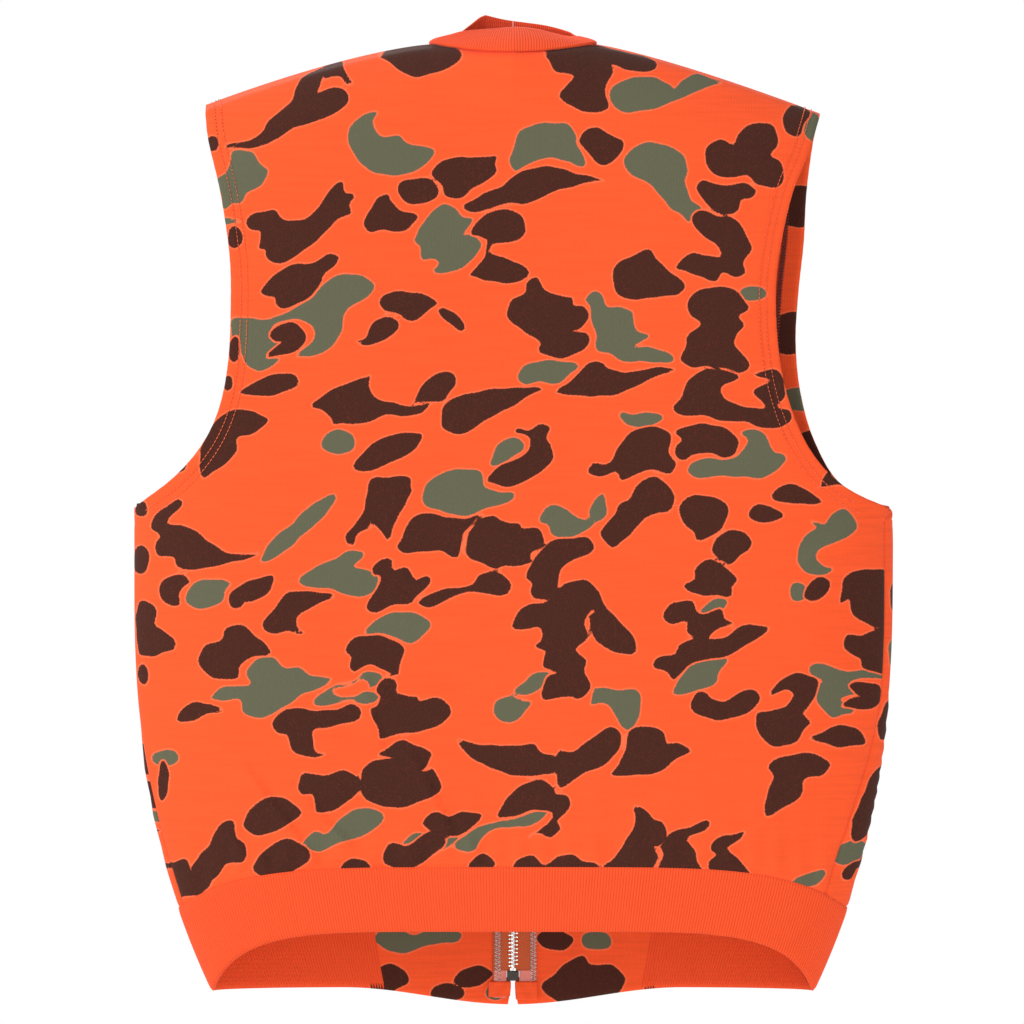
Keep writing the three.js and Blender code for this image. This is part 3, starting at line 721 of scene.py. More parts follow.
    def back_neck(self, x: Array) -> Array:
        """Height of the back neck seam."""
        return self.neck_top * (x / self.neck_half) ** 2

    def front_band(self, x: Array, up: Array | float) -> Array:
        """Height of the front waistband: up is 0 at the hem and 1 at the seam."""
        fall = np.cos(math.pi / 2 * np.minimum(1, np.abs(x) / self.front_dip_reach)) ** 2
        return self.hem_side + (self.seam_side - self.hem_side) * up - self.front_dip * fall

    def back_band(self, share: Array, up: Array | float) -> Array:
        """Height of the back waistband at a share of the half width."""
        hem = self.back_hem_mid + (self.hem_side - self.back_hem_mid) * np.abs(share) ** 6
        seam = self.back_seam_mid + (self.seam_side - self.back_seam_mid) * np.abs(share) ** 5
        return lerp(hem, seam, up)

    def wrapped(self, run: Array, z: Array) -> Array:
        """Points of the front cloth at an unrolled distance from the centre line, past the side if far."""
        width = self.half_width(z)
        past = np.abs(run) > width
        x = np.where(past, np.sign(run) * (2 * width - np.abs(run)), run)
        return np.where(past[..., None], self.back(x, z), self.front(x, z))


# ---------------------------------------------------------------- the print


PEBBLE = (0, 45, 12, 82, 48, 100, 85, 88, 100, 55, 90, 18, 55, 0, 15, 12)


@dataclass(frozen=True)
class Motif:
    """One printed shape: its middle and its size in millimetres, and its outline.

    The outline is a run of across and up values, in hundredths of the shape's width and height.
    """

    x: float
    z: float
    width: float
    height: float
    outline: tuple[int, ...]

    def line(self) -> Array:
        """The shape's smooth outline on the cloth."""
        share = np.array(self.outline, float).reshape(-1, 2) / 100 - 0.5
        smooth_line = curve_through([tuple(p) for p in share], 8 * len(share), closed=True)
        return smooth_line * [self.width, self.height] + [self.x, self.z]


BROWN = [
    Motif(-72, -5, 66, 27, (0, 65, 40, 100, 60, 100, 98, 80, 100, 55, 90, 28, 70, 8, 50, 0, 35, 10, 20, 35, 8, 55)),
    Motif(-169, -43, 92, 60, (
        0, 6, 15, 9, 29, 20, 36, 36, 49, 53, 55, 64, 60, 85, 68, 99, 77, 99, 79, 88, 74, 70, 74, 70, 84, 75, 96, 75,
        100, 64, 96, 51, 80, 38, 61, 29, 44, 14, 25, 3, 5, 1)),
    Motif(-133, -15, 27, 20, (0, 70, 62, 100, 70, 70, 85, 35, 100, 8, 92, 2, 80, 8, 65, 28, 40, 30, 22, 30)),
    Motif(-225, -68, 10, 12, PEBBLE),
    Motif(-208, -139, 11, 17, PEBBLE),
    Motif(-159, -128, 80, 61, (
        0, 52, 8, 62, 25, 66, 32, 57, 40, 52, 52, 54, 62, 62, 70, 75, 78, 90, 90, 100, 91, 87, 100, 84, 96, 72,
        98, 62, 85, 52, 70, 35, 55, 18, 38, 2, 28, 0, 20, 8, 17, 18, 11, 20, 13, 40, 3, 43)),
    Motif(-159, -172, 58, 41, (
        0, 30, 2, 42, 20, 65, 40, 80, 60, 84, 75, 90, 88, 100, 100, 95, 98, 82, 82, 65, 76, 50, 64, 25, 45, 8,
        28, 0, 20, 8, 18, 22, 8, 25)),
    Motif(-169, -215, 28, 25, (
        10, 78, 35, 95, 70, 98, 95, 75, 100, 45, 85, 22, 55, 5, 30, 0, 0, 2, 18, 25, 38, 40, 20, 45, 5, 60)),
    Motif(-71, -104, 31, 20, (0, 45, 10, 80, 45, 98, 80, 92, 98, 55, 95, 25, 75, 10, 40, 0, 15, 15)),
    Motif(-36, -94, 48, 31, (
        0, 58, 12, 85, 35, 98, 60, 100, 80, 97, 99, 100, 97, 80, 100, 58, 85, 42, 60, 22, 48, 5, 38, 0, 18, 5,
        14, 30)),
    Motif(15, -103, 104, 34, (
        0, 15, 12, 37, 26, 54, 40, 87, 55, 98, 69, 98, 80, 87, 100, 70, 100, 70, 83, 60, 69, 50, 47, 20, 37, 22,
        26, 15, 12, 0, 4, 4)),
    Motif(-91, -121, 40, 28, (
        0, 30, 12, 60, 22, 88, 42, 100, 50, 80, 68, 58, 100, 47, 92, 25, 78, 5, 60, 0, 35, 4, 12, 2, 2, 15)),
    Motif(-11, -131, 42, 27, (0, 32, 18, 70, 42, 92, 75, 97, 95, 75, 98, 40, 80, 12, 50, 5, 36, 0, 30, 10, 15, 25)),
    Motif(-10, -158, 45, 30, (
        0, 22, 15, 42, 27, 68, 28, 98, 37, 98, 34, 76, 60, 62, 84, 50, 99, 28, 84, 6, 58, 0, 30, 4, 10, 15)),
    Motif(-78, -190, 43, 22, (
        0, 62, 8, 85, 30, 98, 60, 97, 85, 82, 100, 55, 88, 38, 75, 20, 58, 0, 45, 5, 35, 22, 12, 30)),
    Motif(-46, -200, 18, 16, (0, 85, 20, 100, 70, 75, 100, 35, 98, 5, 80, 0, 50, 20, 15, 55)),
    Motif(-101, -209, 30, 20, (0, 12, 18, 28, 28, 60, 40, 88, 70, 100, 98, 90, 100, 65, 85, 35, 60, 12, 30, 0)),
    Motif(-208, -223, 8, 20, PEBBLE),
    Motif(-213, -248, 7, 11, PEBBLE),
    Motif(-182, -249, 44, 17, (0, 10, 15, 45, 35, 80, 65, 98, 90, 92, 100, 60, 90, 32, 65, 8, 40, 3, 20, 8)),
    Motif(-106, -260, 88, 38, (
        0, 42, 15, 65, 30, 82, 48, 98, 48, 98, 49, 75, 55, 52, 70, 42, 85, 38, 100, 42, 92, 25, 80, 18, 60, 18,
        45, 5, 25, 2, 18, 0, 15, 15, 8, 30)),
    Motif(-58, -251, 30, 23, (0, 2, 0, 2, 12, 45, 35, 80, 70, 100, 95, 92, 100, 65, 85, 28, 68, 2, 35, 5)),
    Motif(-16, -268, 76, 35, (
        0, 30, 4, 60, 15, 78, 32, 88, 60, 96, 82, 100, 100, 94, 84, 78, 65, 52, 45, 30, 28, 6, 14, 0, 3, 10)),
    Motif(-94, -299, 52, 29, (0, 12, 8, 35, 25, 65, 50, 88, 80, 100, 98, 98, 100, 80, 88, 55, 65, 30, 40, 10, 15, 0)),
    Motif(-209, -293, 51, 51, (
        20, 82, 40, 95, 60, 100, 80, 97, 100, 86, 88, 72, 72, 62, 57, 58, 55, 38, 40, 22, 20, 10, 6, 0, 0, 15,
        2, 40, 10, 60)),
    Motif(5, -302, 48, 46, (
        47, 95, 65, 92, 80, 100, 97, 95, 92, 80, 100, 65, 100, 42, 85, 25, 60, 10, 35, 0, 10, 4, 0, 12, 15, 30,
        35, 42, 60, 55, 68, 75, 60, 85, 45, 88)),
    Motif(-100, -343, 50, 52, (
        40, 98, 60, 96, 80, 100, 98, 97, 97, 85, 100, 80, 88, 60, 75, 35, 68, 12, 62, 8, 52, 22, 42, 33, 32, 38,
        38, 28, 20, 18, 12, 2, 5, 0, 0, 12, 12, 28, 25, 48, 32, 75)),
    Motif(-55, -361, 64, 33, (
        0, 22, 8, 45, 15, 80, 30, 100, 55, 90, 78, 88, 100, 96, 85, 70, 78, 50, 75, 30, 72, 2, 64, 0, 50, 12,
        25, 12, 8, 10)),
    Motif(-6, -367, 58, 40, (
        0, 30, 3, 63, 16, 91, 34, 100, 44, 91, 52, 89, 68, 87, 73, 78, 90, 78, 99, 63, 100, 44, 83, 30, 80, 11,
        51, 7, 40, 0, 18, 13)),
    Motif(65, -20, 84, 53, (
        0, 88, 20, 97, 45, 100, 70, 92, 95, 80, 100, 68, 95, 60, 80, 60, 62, 70, 60, 68, 61, 55, 55, 35, 57, 12,
        54, 5, 45, 0, 32, 5, 18, 18, 14, 28, 22, 42, 26, 55, 10, 60, 4, 75)),
    Motif(66, -71, 33, 28, (0, 65, 15, 90, 42, 100, 65, 85, 98, 68, 97, 45, 80, 15, 55, 0, 35, 8, 18, 35)),
    Motif(173, -77, 60, 47, (
        0, 48, 5, 65, 22, 75, 36, 66, 45, 85, 65, 100, 85, 98, 92, 82, 90, 65, 82, 50, 95, 38, 100, 15, 90, 0,
        68, 2, 55, 15, 40, 15, 22, 15, 6, 28)),
    Motif(212, -51, 22, 24, (5, 55, 20, 90, 50, 100, 100, 85, 80, 40, 60, 0, 20, 10)),
    Motif(159, -109, 44, 25, (
        5, 90, 15, 100, 40, 88, 60, 90, 85, 90, 100, 70, 92, 48, 76, 42, 70, 10, 55, 0, 30, 12, 12, 40, 0, 70)),
    Motif(150, -145, 56, 52, (
        22, 90, 32, 100, 55, 94, 80, 88, 92, 65, 100, 45, 90, 25, 92, 10, 80, 5, 62, 12, 52, 0, 35, 3, 15, 12,
        0, 20, 20, 38, 40, 35, 58, 35, 60, 42, 52, 52, 30, 68)),
    Motif(101, -167, 53, 37, (0, 35, 6, 72, 30, 90, 52, 100, 62, 82, 80, 60, 100, 32, 92, 12, 70, 8, 40, 0, 12, 8)),
    Motif(27, -199, 62, 60, (
        0, 54, 5, 72, 20, 82, 23, 95, 34, 100, 43, 86, 57, 79, 78, 76, 80, 66, 93, 64, 98, 50, 88, 38, 77, 34,
        94, 30, 99, 19, 88, 8, 61, 0, 38, 8, 40, 18, 17, 35, 5, 45)),
    Motif(151, -208, 51, 64, (
        10, 79, 22, 94, 47, 100, 74, 99, 96, 81, 99, 73, 85, 66, 91, 55, 81, 44, 78, 33, 96, 17, 99, 6, 88, 0,
        66, 6, 37, 7, 15, 6, 0, 15, 7, 29, 10, 44, 29, 56, 15, 67)),
    Motif(77, -245, 88, 26, (
        0, 15, 12, 50, 25, 92, 38, 98, 45, 80, 65, 72, 85, 85, 100, 82, 88, 65, 70, 35, 50, 8, 30, 0, 12, 8)),
    Motif(164, -259, 88, 44, (
        0, 35, 8, 55, 12, 80, 30, 100, 48, 95, 55, 85, 42, 72, 42, 55, 55, 38, 70, 32, 78, 38, 68, 62, 82, 80,
        68, 90, 85, 100, 92, 85, 95, 55, 88, 35, 98, 30, 98, 10, 85, 0, 70, 2, 58, 10, 42, 12, 25, 20, 8, 20)),
    Motif(89, -300, 65, 39, (
        0, 10, 3, 28, 22, 30, 32, 55, 48, 88, 70, 100, 92, 92, 95, 70, 92, 50, 100, 30, 92, 12, 70, 18, 55, 8,
        38, 0, 32, 15, 15, 5)),
    Motif(145, -292, 47, 27, (
        0, 80, 20, 95, 50, 100, 80, 90, 100, 55, 95, 20, 78, 10, 55, 20, 30, 15, 12, 0, 0, 15, 2, 40, 10, 60)),
    Motif(142, -349, 36, 34, (
        0, 75, 10, 92, 35, 100, 70, 98, 97, 85, 100, 60, 90, 30, 60, 8, 38, 0, 33, 20, 15, 35, 2, 55)),
    Motif(163, -370, 30, 26, (0, 45, 20, 80, 50, 100, 82, 90, 100, 65, 92, 40, 70, 25, 52, 0, 35, 8, 10, 25)),
    Motif(212, -331, 37, 15, (0, 50, 15, 90, 45, 100, 75, 65, 100, 20, 70, 0, 35, 8, 10, 20)),
    Motif(189, -345, 26, 13, (0, 45, 15, 92, 50, 100, 75, 75, 100, 40, 70, 5, 30, 0, 5, 15)),
    Motif(93, -344, 55, 52, (
        0, 20, 8, 32, 20, 50, 25, 62, 40, 70, 52, 90, 72, 100, 92, 90, 100, 70, 92, 52, 75, 48, 58, 38, 42, 18,
        30, 10, 18, 0, 8, 5)),
    Motif(35, -386, 49, 46, (
        0, 38, 12, 67, 32, 90, 51, 98, 89, 100, 100, 90, 97, 75, 66, 62, 51, 46, 48, 25, 38, 2, 12, 0, 5, 13, 8,
        26)),
    Motif(-36, -402, 70, 26, (
        0, 15, 15, 40, 38, 55, 58, 65, 66, 90, 78, 100, 92, 90, 100, 65, 95, 40, 80, 32, 60, 45, 40, 35, 22, 5,
        10, 0)),
    Motif(46, -422, 91, 55, (
        0, 35, 4, 57, 12, 66, 26, 69, 35, 84, 45, 97, 59, 99, 69, 84, 74, 66, 84, 50, 94, 32, 100, 12, 99, 0,
        86, 1, 70, 12, 64, 30, 63, 49, 68, 58, 47, 57, 26, 49, 16, 35)),
    Motif(31, -450, 53, 69, (
        97, 97, 92, 84, 97, 68, 80, 55, 95, 43, 93, 30, 100, 12, 84, 1, 71, 5, 37, 0, 32, 11, 41, 25, 55, 31,
        35, 35, 37, 52, 21, 57, 32, 65, 31, 76, 17, 81, 0, 78, 4, 91, 41, 98)),
    Motif(148, -393, 40, 27, (
        0, 30, 20, 45, 22, 75, 40, 98, 62, 95, 80, 75, 100, 45, 88, 25, 85, 0, 60, 2, 35, 0, 12, 8)),
    Motif(139, -425, 53, 28, (
        0, 65, 12, 98, 38, 100, 48, 73, 60, 65, 80, 84, 88, 55, 100, 40, 77, 30, 57, 0, 34, 16, 34, 46, 11,
        43)),
    Motif(148, -449, 86, 40, (
        0, 30, 5, 42, 18, 48, 22, 65, 35, 75, 60, 78, 75, 98, 95, 100, 100, 92, 85, 70, 68, 48, 50, 38, 35, 30,
        22, 8, 17, 0, 12, 15, 2, 20)),
    Motif(159, -488, 51, 22, (
        0, 40, 5, 85, 20, 92, 30, 70, 50, 65, 70, 90, 90, 100, 100, 70, 90, 30, 65, 8, 35, 0, 10, 15)),
    Motif(205, -492, 46, 54, (
        22, 72, 35, 90, 65, 100, 85, 97, 100, 88, 90, 60, 82, 50, 75, 45, 88, 32, 75, 22, 65, 5, 35, 0, 12, 8,
        0, 25, 2, 45, 25, 50, 48, 55, 60, 70, 45, 78)),
    Motif(262, -482, 31, 21, (0, 15, 20, 38, 45, 45, 28, 60, 15, 90, 50, 100, 85, 92, 100, 55, 88, 20, 65, 3, 30, 5)),
    Motif(243, -512, 43, 16, (0, 40, 20, 70, 45, 100, 80, 85, 100, 25, 85, 5, 50, 0, 25, 25)),
    Motif(264, -448, 34, 31, (0, 60, 8, 88, 35, 85, 65, 100, 100, 98, 100, 0, 70, 2, 45, 8, 40, 30, 15, 42)),
    Motif(263, -408, 37, 40, (0, 40, 10, 85, 40, 100, 100, 95, 100, 0, 55, 2, 25, 20, 18, 45)),
    Motif(227, -401, 20, 18, (0, 20, 30, 75, 70, 100, 100, 80, 85, 30, 40, 0, 10, 0)),
    Motif(-4, -527, 75, 28, (
        0, 98, 12, 90, 30, 80, 60, 82, 75, 85, 85, 60, 100, 48, 98, 15, 90, 2, 65, 0, 45, 8, 25, 30, 10, 60)),
    Motif(56, -527, 49, 45, (
        5, 55, 8, 62, 30, 60, 48, 75, 65, 88, 82, 100, 98, 92, 100, 70, 88, 50, 65, 30, 40, 22, 15, 2, 5, 0, 2,
        20, 0, 40)),
    Motif(103, -523, 60, 37, (
        0, 3, 12, 30, 20, 60, 22, 92, 45, 100, 65, 90, 70, 68, 85, 68, 98, 55, 100, 48, 80, 35, 60, 8, 35, 2,
        15, 3)),
    Motif(213, -548, 49, 47, (
        5, 80, 18, 92, 50, 98, 75, 100, 90, 92, 100, 82, 85, 65, 60, 58, 55, 30, 30, 15, 3, 0, 0, 15, 8, 50, 12,
        65)),
    Motif(16, -566, 55, 43, (
        0, 35, 10, 62, 30, 90, 55, 100, 75, 88, 80, 76, 95, 75, 100, 60, 90, 42, 80, 30, 85, 15, 72, 0, 60, 5,
        48, 8, 42, 2, 60, 15, 70, 28, 75, 42, 50, 48, 25, 40)),
    Motif(91, -589, 49, 50, (
        48, 98, 55, 100, 70, 90, 78, 80, 92, 75, 100, 58, 90, 42, 80, 38, 85, 25, 75, 5, 60, 0, 30, 2, 0, 8,
        20, 25, 38, 50, 50, 75)),
    Motif(128, -595, 38, 40, (
        15, 70, 30, 82, 60, 88, 92, 100, 100, 92, 85, 78, 58, 70, 60, 60, 72, 42, 75, 25, 82, 12, 85, 0, 40, 2,
        0, 10, 10, 40, 5, 50)),
    Motif(163, -602, 35, 36, (
        60, 98, 80, 100, 72, 85, 45, 72, 50, 60, 65, 45, 85, 20, 100, 0, 60, 5, 25, 10, 5, 20, 2, 40, 18, 55,
        8, 65, 15, 85, 35, 95)),
    Motif(31, -606, 64, 13, (0, 20, 8, 75, 25, 85, 38, 30, 55, 85, 70, 100, 82, 60, 98, 40, 100, 0, 50, 0, 5, 0)),
    Motif(-230, -361, 80, 53, (
        25, 100, 28, 92, 15, 72, 18, 65, 38, 58, 55, 40, 75, 22, 100, 25, 85, 14, 65, 8, 45, 2, 30, 0, 22, 8,
        20, 18, 5, 22, 3, 38, 8, 50, 0, 60, 2, 78, 15, 92)),
    Motif(-279, -380, 13, 22, PEBBLE),
    Motif(-279, -342, 10, 12, PEBBLE),
    Motif(-253, -403, 24, 23, (0, 45, 12, 85, 45, 100, 80, 98, 100, 80, 75, 60, 62, 35, 65, 8, 45, 0, 15, 15)),
    Motif(-196, -404, 35, 25, (
        2, 20, 5, 45, 30, 70, 55, 88, 85, 100, 100, 95, 95, 65, 80, 42, 55, 25, 35, 20, 28, 3, 12, 0)),
    Motif(-161, -419, 51, 32, (
        0, 25, 8, 45, 18, 60, 25, 80, 40, 97, 70, 100, 98, 92, 100, 82, 80, 72, 62, 55, 50, 35, 50, 15, 60, 3,
        48, 0, 35, 5, 15, 0, 3, 8)),
    Motif(-85, -399, 49, 40, (
        10, 85, 25, 100, 38, 95, 42, 78, 60, 85, 72, 70, 75, 62, 92, 68, 100, 58, 90, 45, 75, 30, 65, 18, 40, 12,
        15, 0, 2, 5, 0, 15, 10, 35, 22, 55, 22, 68, 12, 72)),
    Motif(-268, -432, 29, 40, (5, 95, 35, 100, 55, 88, 52, 60, 75, 48, 98, 30, 100, 12, 70, 8, 40, 0, 5, 10)),
    Motif(-277, -466, 8, 15, PEBBLE),
    Motif(-208, -449, 53, 41, (
        0, 40, 8, 65, 30, 72, 38, 92, 60, 100, 78, 82, 92, 68, 100, 48, 75, 42, 58, 25, 56, 5, 38, 0, 15, 8, 2,
        25)),
    Motif(-103, -451, 44, 30, (
        0, 60, 8, 88, 30, 100, 60, 97, 98, 70, 95, 40, 90, 5, 80, 0, 65, 12, 45, 28, 30, 22, 15, 10, 8, 25, 10,
        45)),
    Motif(-234, -494, 35, 16, (0, 20, 15, 65, 40, 98, 70, 92, 98, 70, 95, 55, 65, 45, 40, 15, 10, 0)),
    Motif(-76, -491, 60, 46, (
        15, 97, 28, 97, 32, 85, 30, 75, 45, 72, 58, 70, 60, 62, 80, 68, 98, 55, 98, 38, 80, 20, 50, 12, 30, 8,
        12, 0, 8, 15, 0, 48, 8, 55, 12, 68, 5, 80)),
    Motif(-146, -507, 68, 39, (
        0, 60, 8, 80, 25, 92, 55, 88, 75, 90, 88, 100, 98, 92, 97, 75, 80, 62, 60, 55, 45, 52, 45, 32, 48, 12,
        60, 3, 40, 0, 25, 8, 18, 30, 15, 40, 5, 45)),
    Motif(-80, -526, 39, 23, (0, 55, 15, 72, 42, 100, 70, 85, 100, 60, 95, 35, 80, 2, 55, 0, 32, 15, 30, 35)),
    Motif(-84, -547, 60, 37, (
        0, 50, 3, 80, 20, 98, 45, 95, 52, 80, 80, 75, 90, 78, 100, 35, 70, 12, 45, 0, 20, 8, 5, 25)),
    Motif(-137, -552, 47, 32, (0, 60, 8, 92, 40, 85, 75, 95, 100, 70, 92, 40, 60, 5, 30, 0, 25, 40, 8, 40)),
    Motif(-180, -571, 44, 28, (0, 25, 15, 70, 45, 100, 75, 92, 100, 60, 80, 30, 50, 5, 20, 0)),
    Motif(-220, -599, 43, 46, (
        0, 20, 15, 45, 35, 65, 50, 95, 75, 100, 80, 75, 98, 60, 90, 35, 60, 30, 45, 10, 15, 0)),
    Motif(-173, -603, 43, 28, (0, 20, 20, 70, 55, 100, 85, 90, 100, 60, 80, 25, 40, 0)),
    Motif(-118, -608, 22, 11, (0, 0, 10, 60, 45, 100, 85, 80, 100, 0)),
    Motif(-74, -596, 47, 28, (0, 20, 12, 65, 40, 60, 65, 90, 95, 100, 100, 60, 75, 30, 45, 0, 15, 0)),
    Motif(-46, -578, 44, 21, (0, 60, 20, 95, 45, 80, 70, 100, 100, 85, 85, 45, 55, 10, 25, 20)),
    Motif(-24, -605, 18, 11, (0, 0, 15, 70, 55, 100, 95, 60, 100, 0)),
    Motif(-248, -620, 45, 44, (0, 100, 30, 80, 55, 85, 70, 60, 100, 50, 80, 25, 50, 20, 30, 0, 10, 30, 5, 60)),
    Motif(-262, -545, 8, 30, PEBBLE),
]
BROWN += [
    Motif(-262, -98, 48, 34, BROWN[0].outline),
    Motif(-256, -176, 44, 40, BROWN[28].outline),
    Motif(-262, -240, 40, 24, BROWN[3].outline),
    Motif(-252, -300, 34, 30, BROWN[33].outline),
    Motif(262, -92, 46, 30, BROWN[8].outline),
    Motif(256, -150, 40, 44, BROWN[24].outline),
    Motif(264, -236, 36, 44, BROWN[38].outline),
    Motif(250, -312, 40, 26, BROWN[21].outline),
]
GREY_GREEN = [
    Motif(-202, -96, 38, 43, (
        28, 98, 66, 100, 82, 82, 100, 68, 98, 55, 86, 42, 58, 28, 46, 10, 30, 8, 14, 0, 6, 25, 0, 52, 18, 62,
        26, 78)),
    Motif(-210, -127, 15, 6, (0, 0, 0, 90, 50, 80, 100, 50, 50, 20)),
    Motif(-157, -202, 106, 71, (
        0, 52, 13, 54, 29, 54, 46, 65, 57, 77, 65, 91, 80, 100, 93, 98, 100, 88, 97, 79, 87, 69, 80, 59, 77, 41,
        73, 28, 65, 18, 46, 14, 56, 28, 58, 42, 50, 52, 34, 50, 27, 42, 36, 32, 24, 14, 34, 10, 22, 0, 12, 3,
        6, 19, 0, 30)),
    Motif(-91, -69, 64, 48, (
        33, 100, 18, 95, 6, 82, 0, 62, 2, 45, 15, 20, 35, 4, 55, 0, 78, 8, 95, 25, 100, 36, 94, 44, 78, 48,
        66, 54, 58, 62, 40, 60, 32, 72, 29, 85)),
    Motif(-49, -140, 50, 51, (
        50, 100, 38, 97, 18, 78, 5, 60, 0, 48, 10, 38, 12, 22, 30, 20, 38, 12, 30, 1, 50, 0, 75, 10, 95, 30,
        100, 42, 88, 55, 72, 58, 82, 68, 88, 80, 72, 84, 62, 94)),
    Motif(-130, -292, 25, 18, PEBBLE),
    Motif(-33, -329, 69, 35, (
        0, 38, 5, 65, 20, 88, 42, 100, 60, 95, 66, 78, 68, 60, 80, 50, 100, 48, 92, 28, 70, 15, 45, 0, 20, 8, 4,
        20)),
    Motif(-4, -299, 26, 22, (0, 8, 10, 45, 35, 85, 70, 100, 95, 85, 95, 60, 70, 40, 40, 15, 15, 0)),
    Motif(115, -31, 85, 29, (
        0, 40, 3, 68, 18, 88, 38, 90, 52, 75, 57, 62, 65, 85, 75, 100, 88, 92, 100, 80, 90, 72, 75, 50, 55, 30,
        38, 8, 18, 0, 5, 10)),
    Motif(26, -71, 57, 35, (
        7, 55, 12, 80, 30, 95, 60, 100, 78, 98, 87, 75, 88, 55, 100, 12, 90, 10, 75, 20, 58, 25, 35, 20, 20, 8,
        8, 0, 0, 20, 2, 38)),
    Motif(112, -98, 58, 59, (
        0, 78, 8, 92, 30, 100, 55, 97, 75, 85, 82, 65, 79, 50, 85, 28, 100, 18, 92, 8, 85, 0, 72, 12, 58, 20,
        45, 35, 30, 50, 10, 60)),
    Motif(224, -55, 12, 23, PEBBLE),
    Motif(87, -206, 65, 53, (
        0, 90, 8, 100, 17, 96, 25, 80, 40, 79, 54, 71, 56, 47, 72, 36, 55, 23, 80, 20, 100, 11, 95, 1, 63, 1,
        40, 4, 29, 14, 14, 16, 11, 40, 6, 61, 6, 79)),
    Motif(179, -181, 20, 11, PEBBLE),
    Motif(26, -240, 45, 18, (0, 30, 8, 75, 35, 95, 70, 100, 100, 85, 85, 45, 65, 5, 35, 10, 12, 5)),
    Motif(95, -275, 31, 12, (0, 70, 10, 100, 35, 80, 70, 92, 100, 75, 95, 35, 60, 0, 25, 12)),
    Motif(167, -301, 72, 37, (
        0, 15, 3, 32, 20, 42, 45, 42, 58, 60, 62, 80, 55, 92, 70, 100, 82, 85, 88, 58, 98, 50, 100, 38, 90, 18,
        75, 2, 50, 5, 30, 8, 12, 0)),
    Motif(41, -351, 42, 24, (
        0, 60, 10, 90, 28, 100, 45, 92, 60, 70, 80, 55, 100, 52, 88, 25, 65, 8, 35, 0, 20, 15, 18, 35, 3, 45)),
    Motif(63, -341, 13, 20, (80, 100, 98, 60, 95, 20, 60, 0, 20, 10, 0, 30, 15, 60)),
    Motif(150, -414, 20, 12, (0, 10, 30, 70, 70, 100, 100, 85, 85, 40, 50, 10, 20, 0)),
    Motif(140, -466, 42, 28, (0, 5, 10, 35, 30, 70, 55, 98, 90, 100, 100, 90, 85, 65, 75, 30, 45, 8, 15, 0)),
    Motif(77, -491, 37, 31, (
        0, 60, 5, 95, 15, 100, 55, 97, 90, 95, 100, 70, 98, 35, 80, 0, 62, 8, 50, 35, 35, 60, 15, 62)),
    Motif(0, -491, 28, 19, (0, 40, 8, 80, 40, 100, 75, 85, 100, 72, 80, 35, 55, 5, 20, 0)),
    Motif(15, -472, 30, 16, (0, 15, 25, 55, 55, 98, 100, 90, 80, 60, 65, 20, 40, 0, 10, 5)),
    Motif(251, -478, 58, 41, (
        0, 85, 5, 100, 25, 98, 45, 85, 75, 88, 100, 85, 98, 72, 80, 75, 60, 70, 50, 62, 62, 45, 40, 35, 58, 12,
        42, 5, 30, 3, 18, 18, 8, 40, 12, 65, 20, 72, 8, 75)),
    Motif(213, -404, 13, 14, PEBBLE),
    Motif(235, -367, 46, 48, (
        0, 25, 10, 55, 30, 70, 32, 75, 22, 85, 45, 80, 60, 98, 80, 100, 100, 75, 85, 60, 60, 50, 38, 42, 30, 28,
        42, 15, 60, 10, 40, 0, 15, 5)),
    Motif(220, -619, 26, 14, (0, 0, 30, 60, 100, 100, 80, 20)),
    Motif(-228, -405, 34, 22, (0, 35, 10, 70, 35, 95, 70, 100, 100, 82, 88, 62, 80, 25, 55, 5, 25, 0, 5, 12)),
    Motif(-130, -390, 59, 34, (
        0, 35, 15, 60, 45, 82, 60, 98, 78, 100, 80, 88, 68, 68, 82, 60, 98, 50, 100, 30, 90, 8, 70, 0, 50, 8,
        35, 18, 10, 22)),
    Motif(-160, -356, 56, 49, (
        0, 0, 5, 18, 20, 38, 42, 55, 55, 75, 75, 92, 100, 100, 88, 75, 72, 55, 55, 40, 40, 22, 20, 6)),
    Motif(-181, -475, 89, 45, (
        0, 35, 10, 50, 32, 53, 30, 75, 40, 98, 52, 100, 62, 82, 75, 82, 85, 70, 98, 66, 100, 60, 85, 45, 75, 38,
        65, 20, 50, 5, 38, 0, 28, 8, 24, 28, 8, 28)),
    Motif(-86, -430, 50, 23, (0, 35, 20, 75, 50, 98, 80, 95, 100, 60, 85, 20, 65, 0, 40, 20, 20, 30)),
    Motif(-123, -476, 51, 26, (
        0, 10, 8, 35, 35, 60, 60, 75, 75, 98, 92, 97, 100, 80, 90, 60, 80, 58, 78, 72, 68, 78, 50, 60, 30, 48,
        25, 35, 40, 25, 60, 28, 75, 45, 90, 35, 95, 20, 80, 8, 50, 15, 20, 0)),
    Motif(-260, -528, 20, 12, PEBBLE),
    Motif(-127, -581, 59, 32, (0, 20, 15, 45, 30, 40, 45, 70, 70, 100, 95, 92, 100, 70, 75, 35, 50, 20, 25, 0, 5, 5)),
    Motif(-61, -590, 42, 23, (0, 30, 20, 80, 50, 70, 80, 100, 100, 70, 80, 30, 45, 0, 15, 0)),
    Motif(-8, -582, 71, 31, (
        0, 15, 15, 45, 30, 62, 50, 72, 70, 85, 98, 100, 90, 75, 75, 60, 60, 60, 40, 50, 28, 30, 22, 5, 10, 0)),
]
GREY_GREEN += [
    Motif(-264, -136, 38, 22, GREY_GREEN[6].outline),
    Motif(-260, -270, 36, 24, GREY_GREEN[0].outline),
    Motif(262, -196, 40, 26, GREY_GREEN[9].outline),
    Motif(264, -278, 34, 26, GREY_GREEN[4].outline),
]
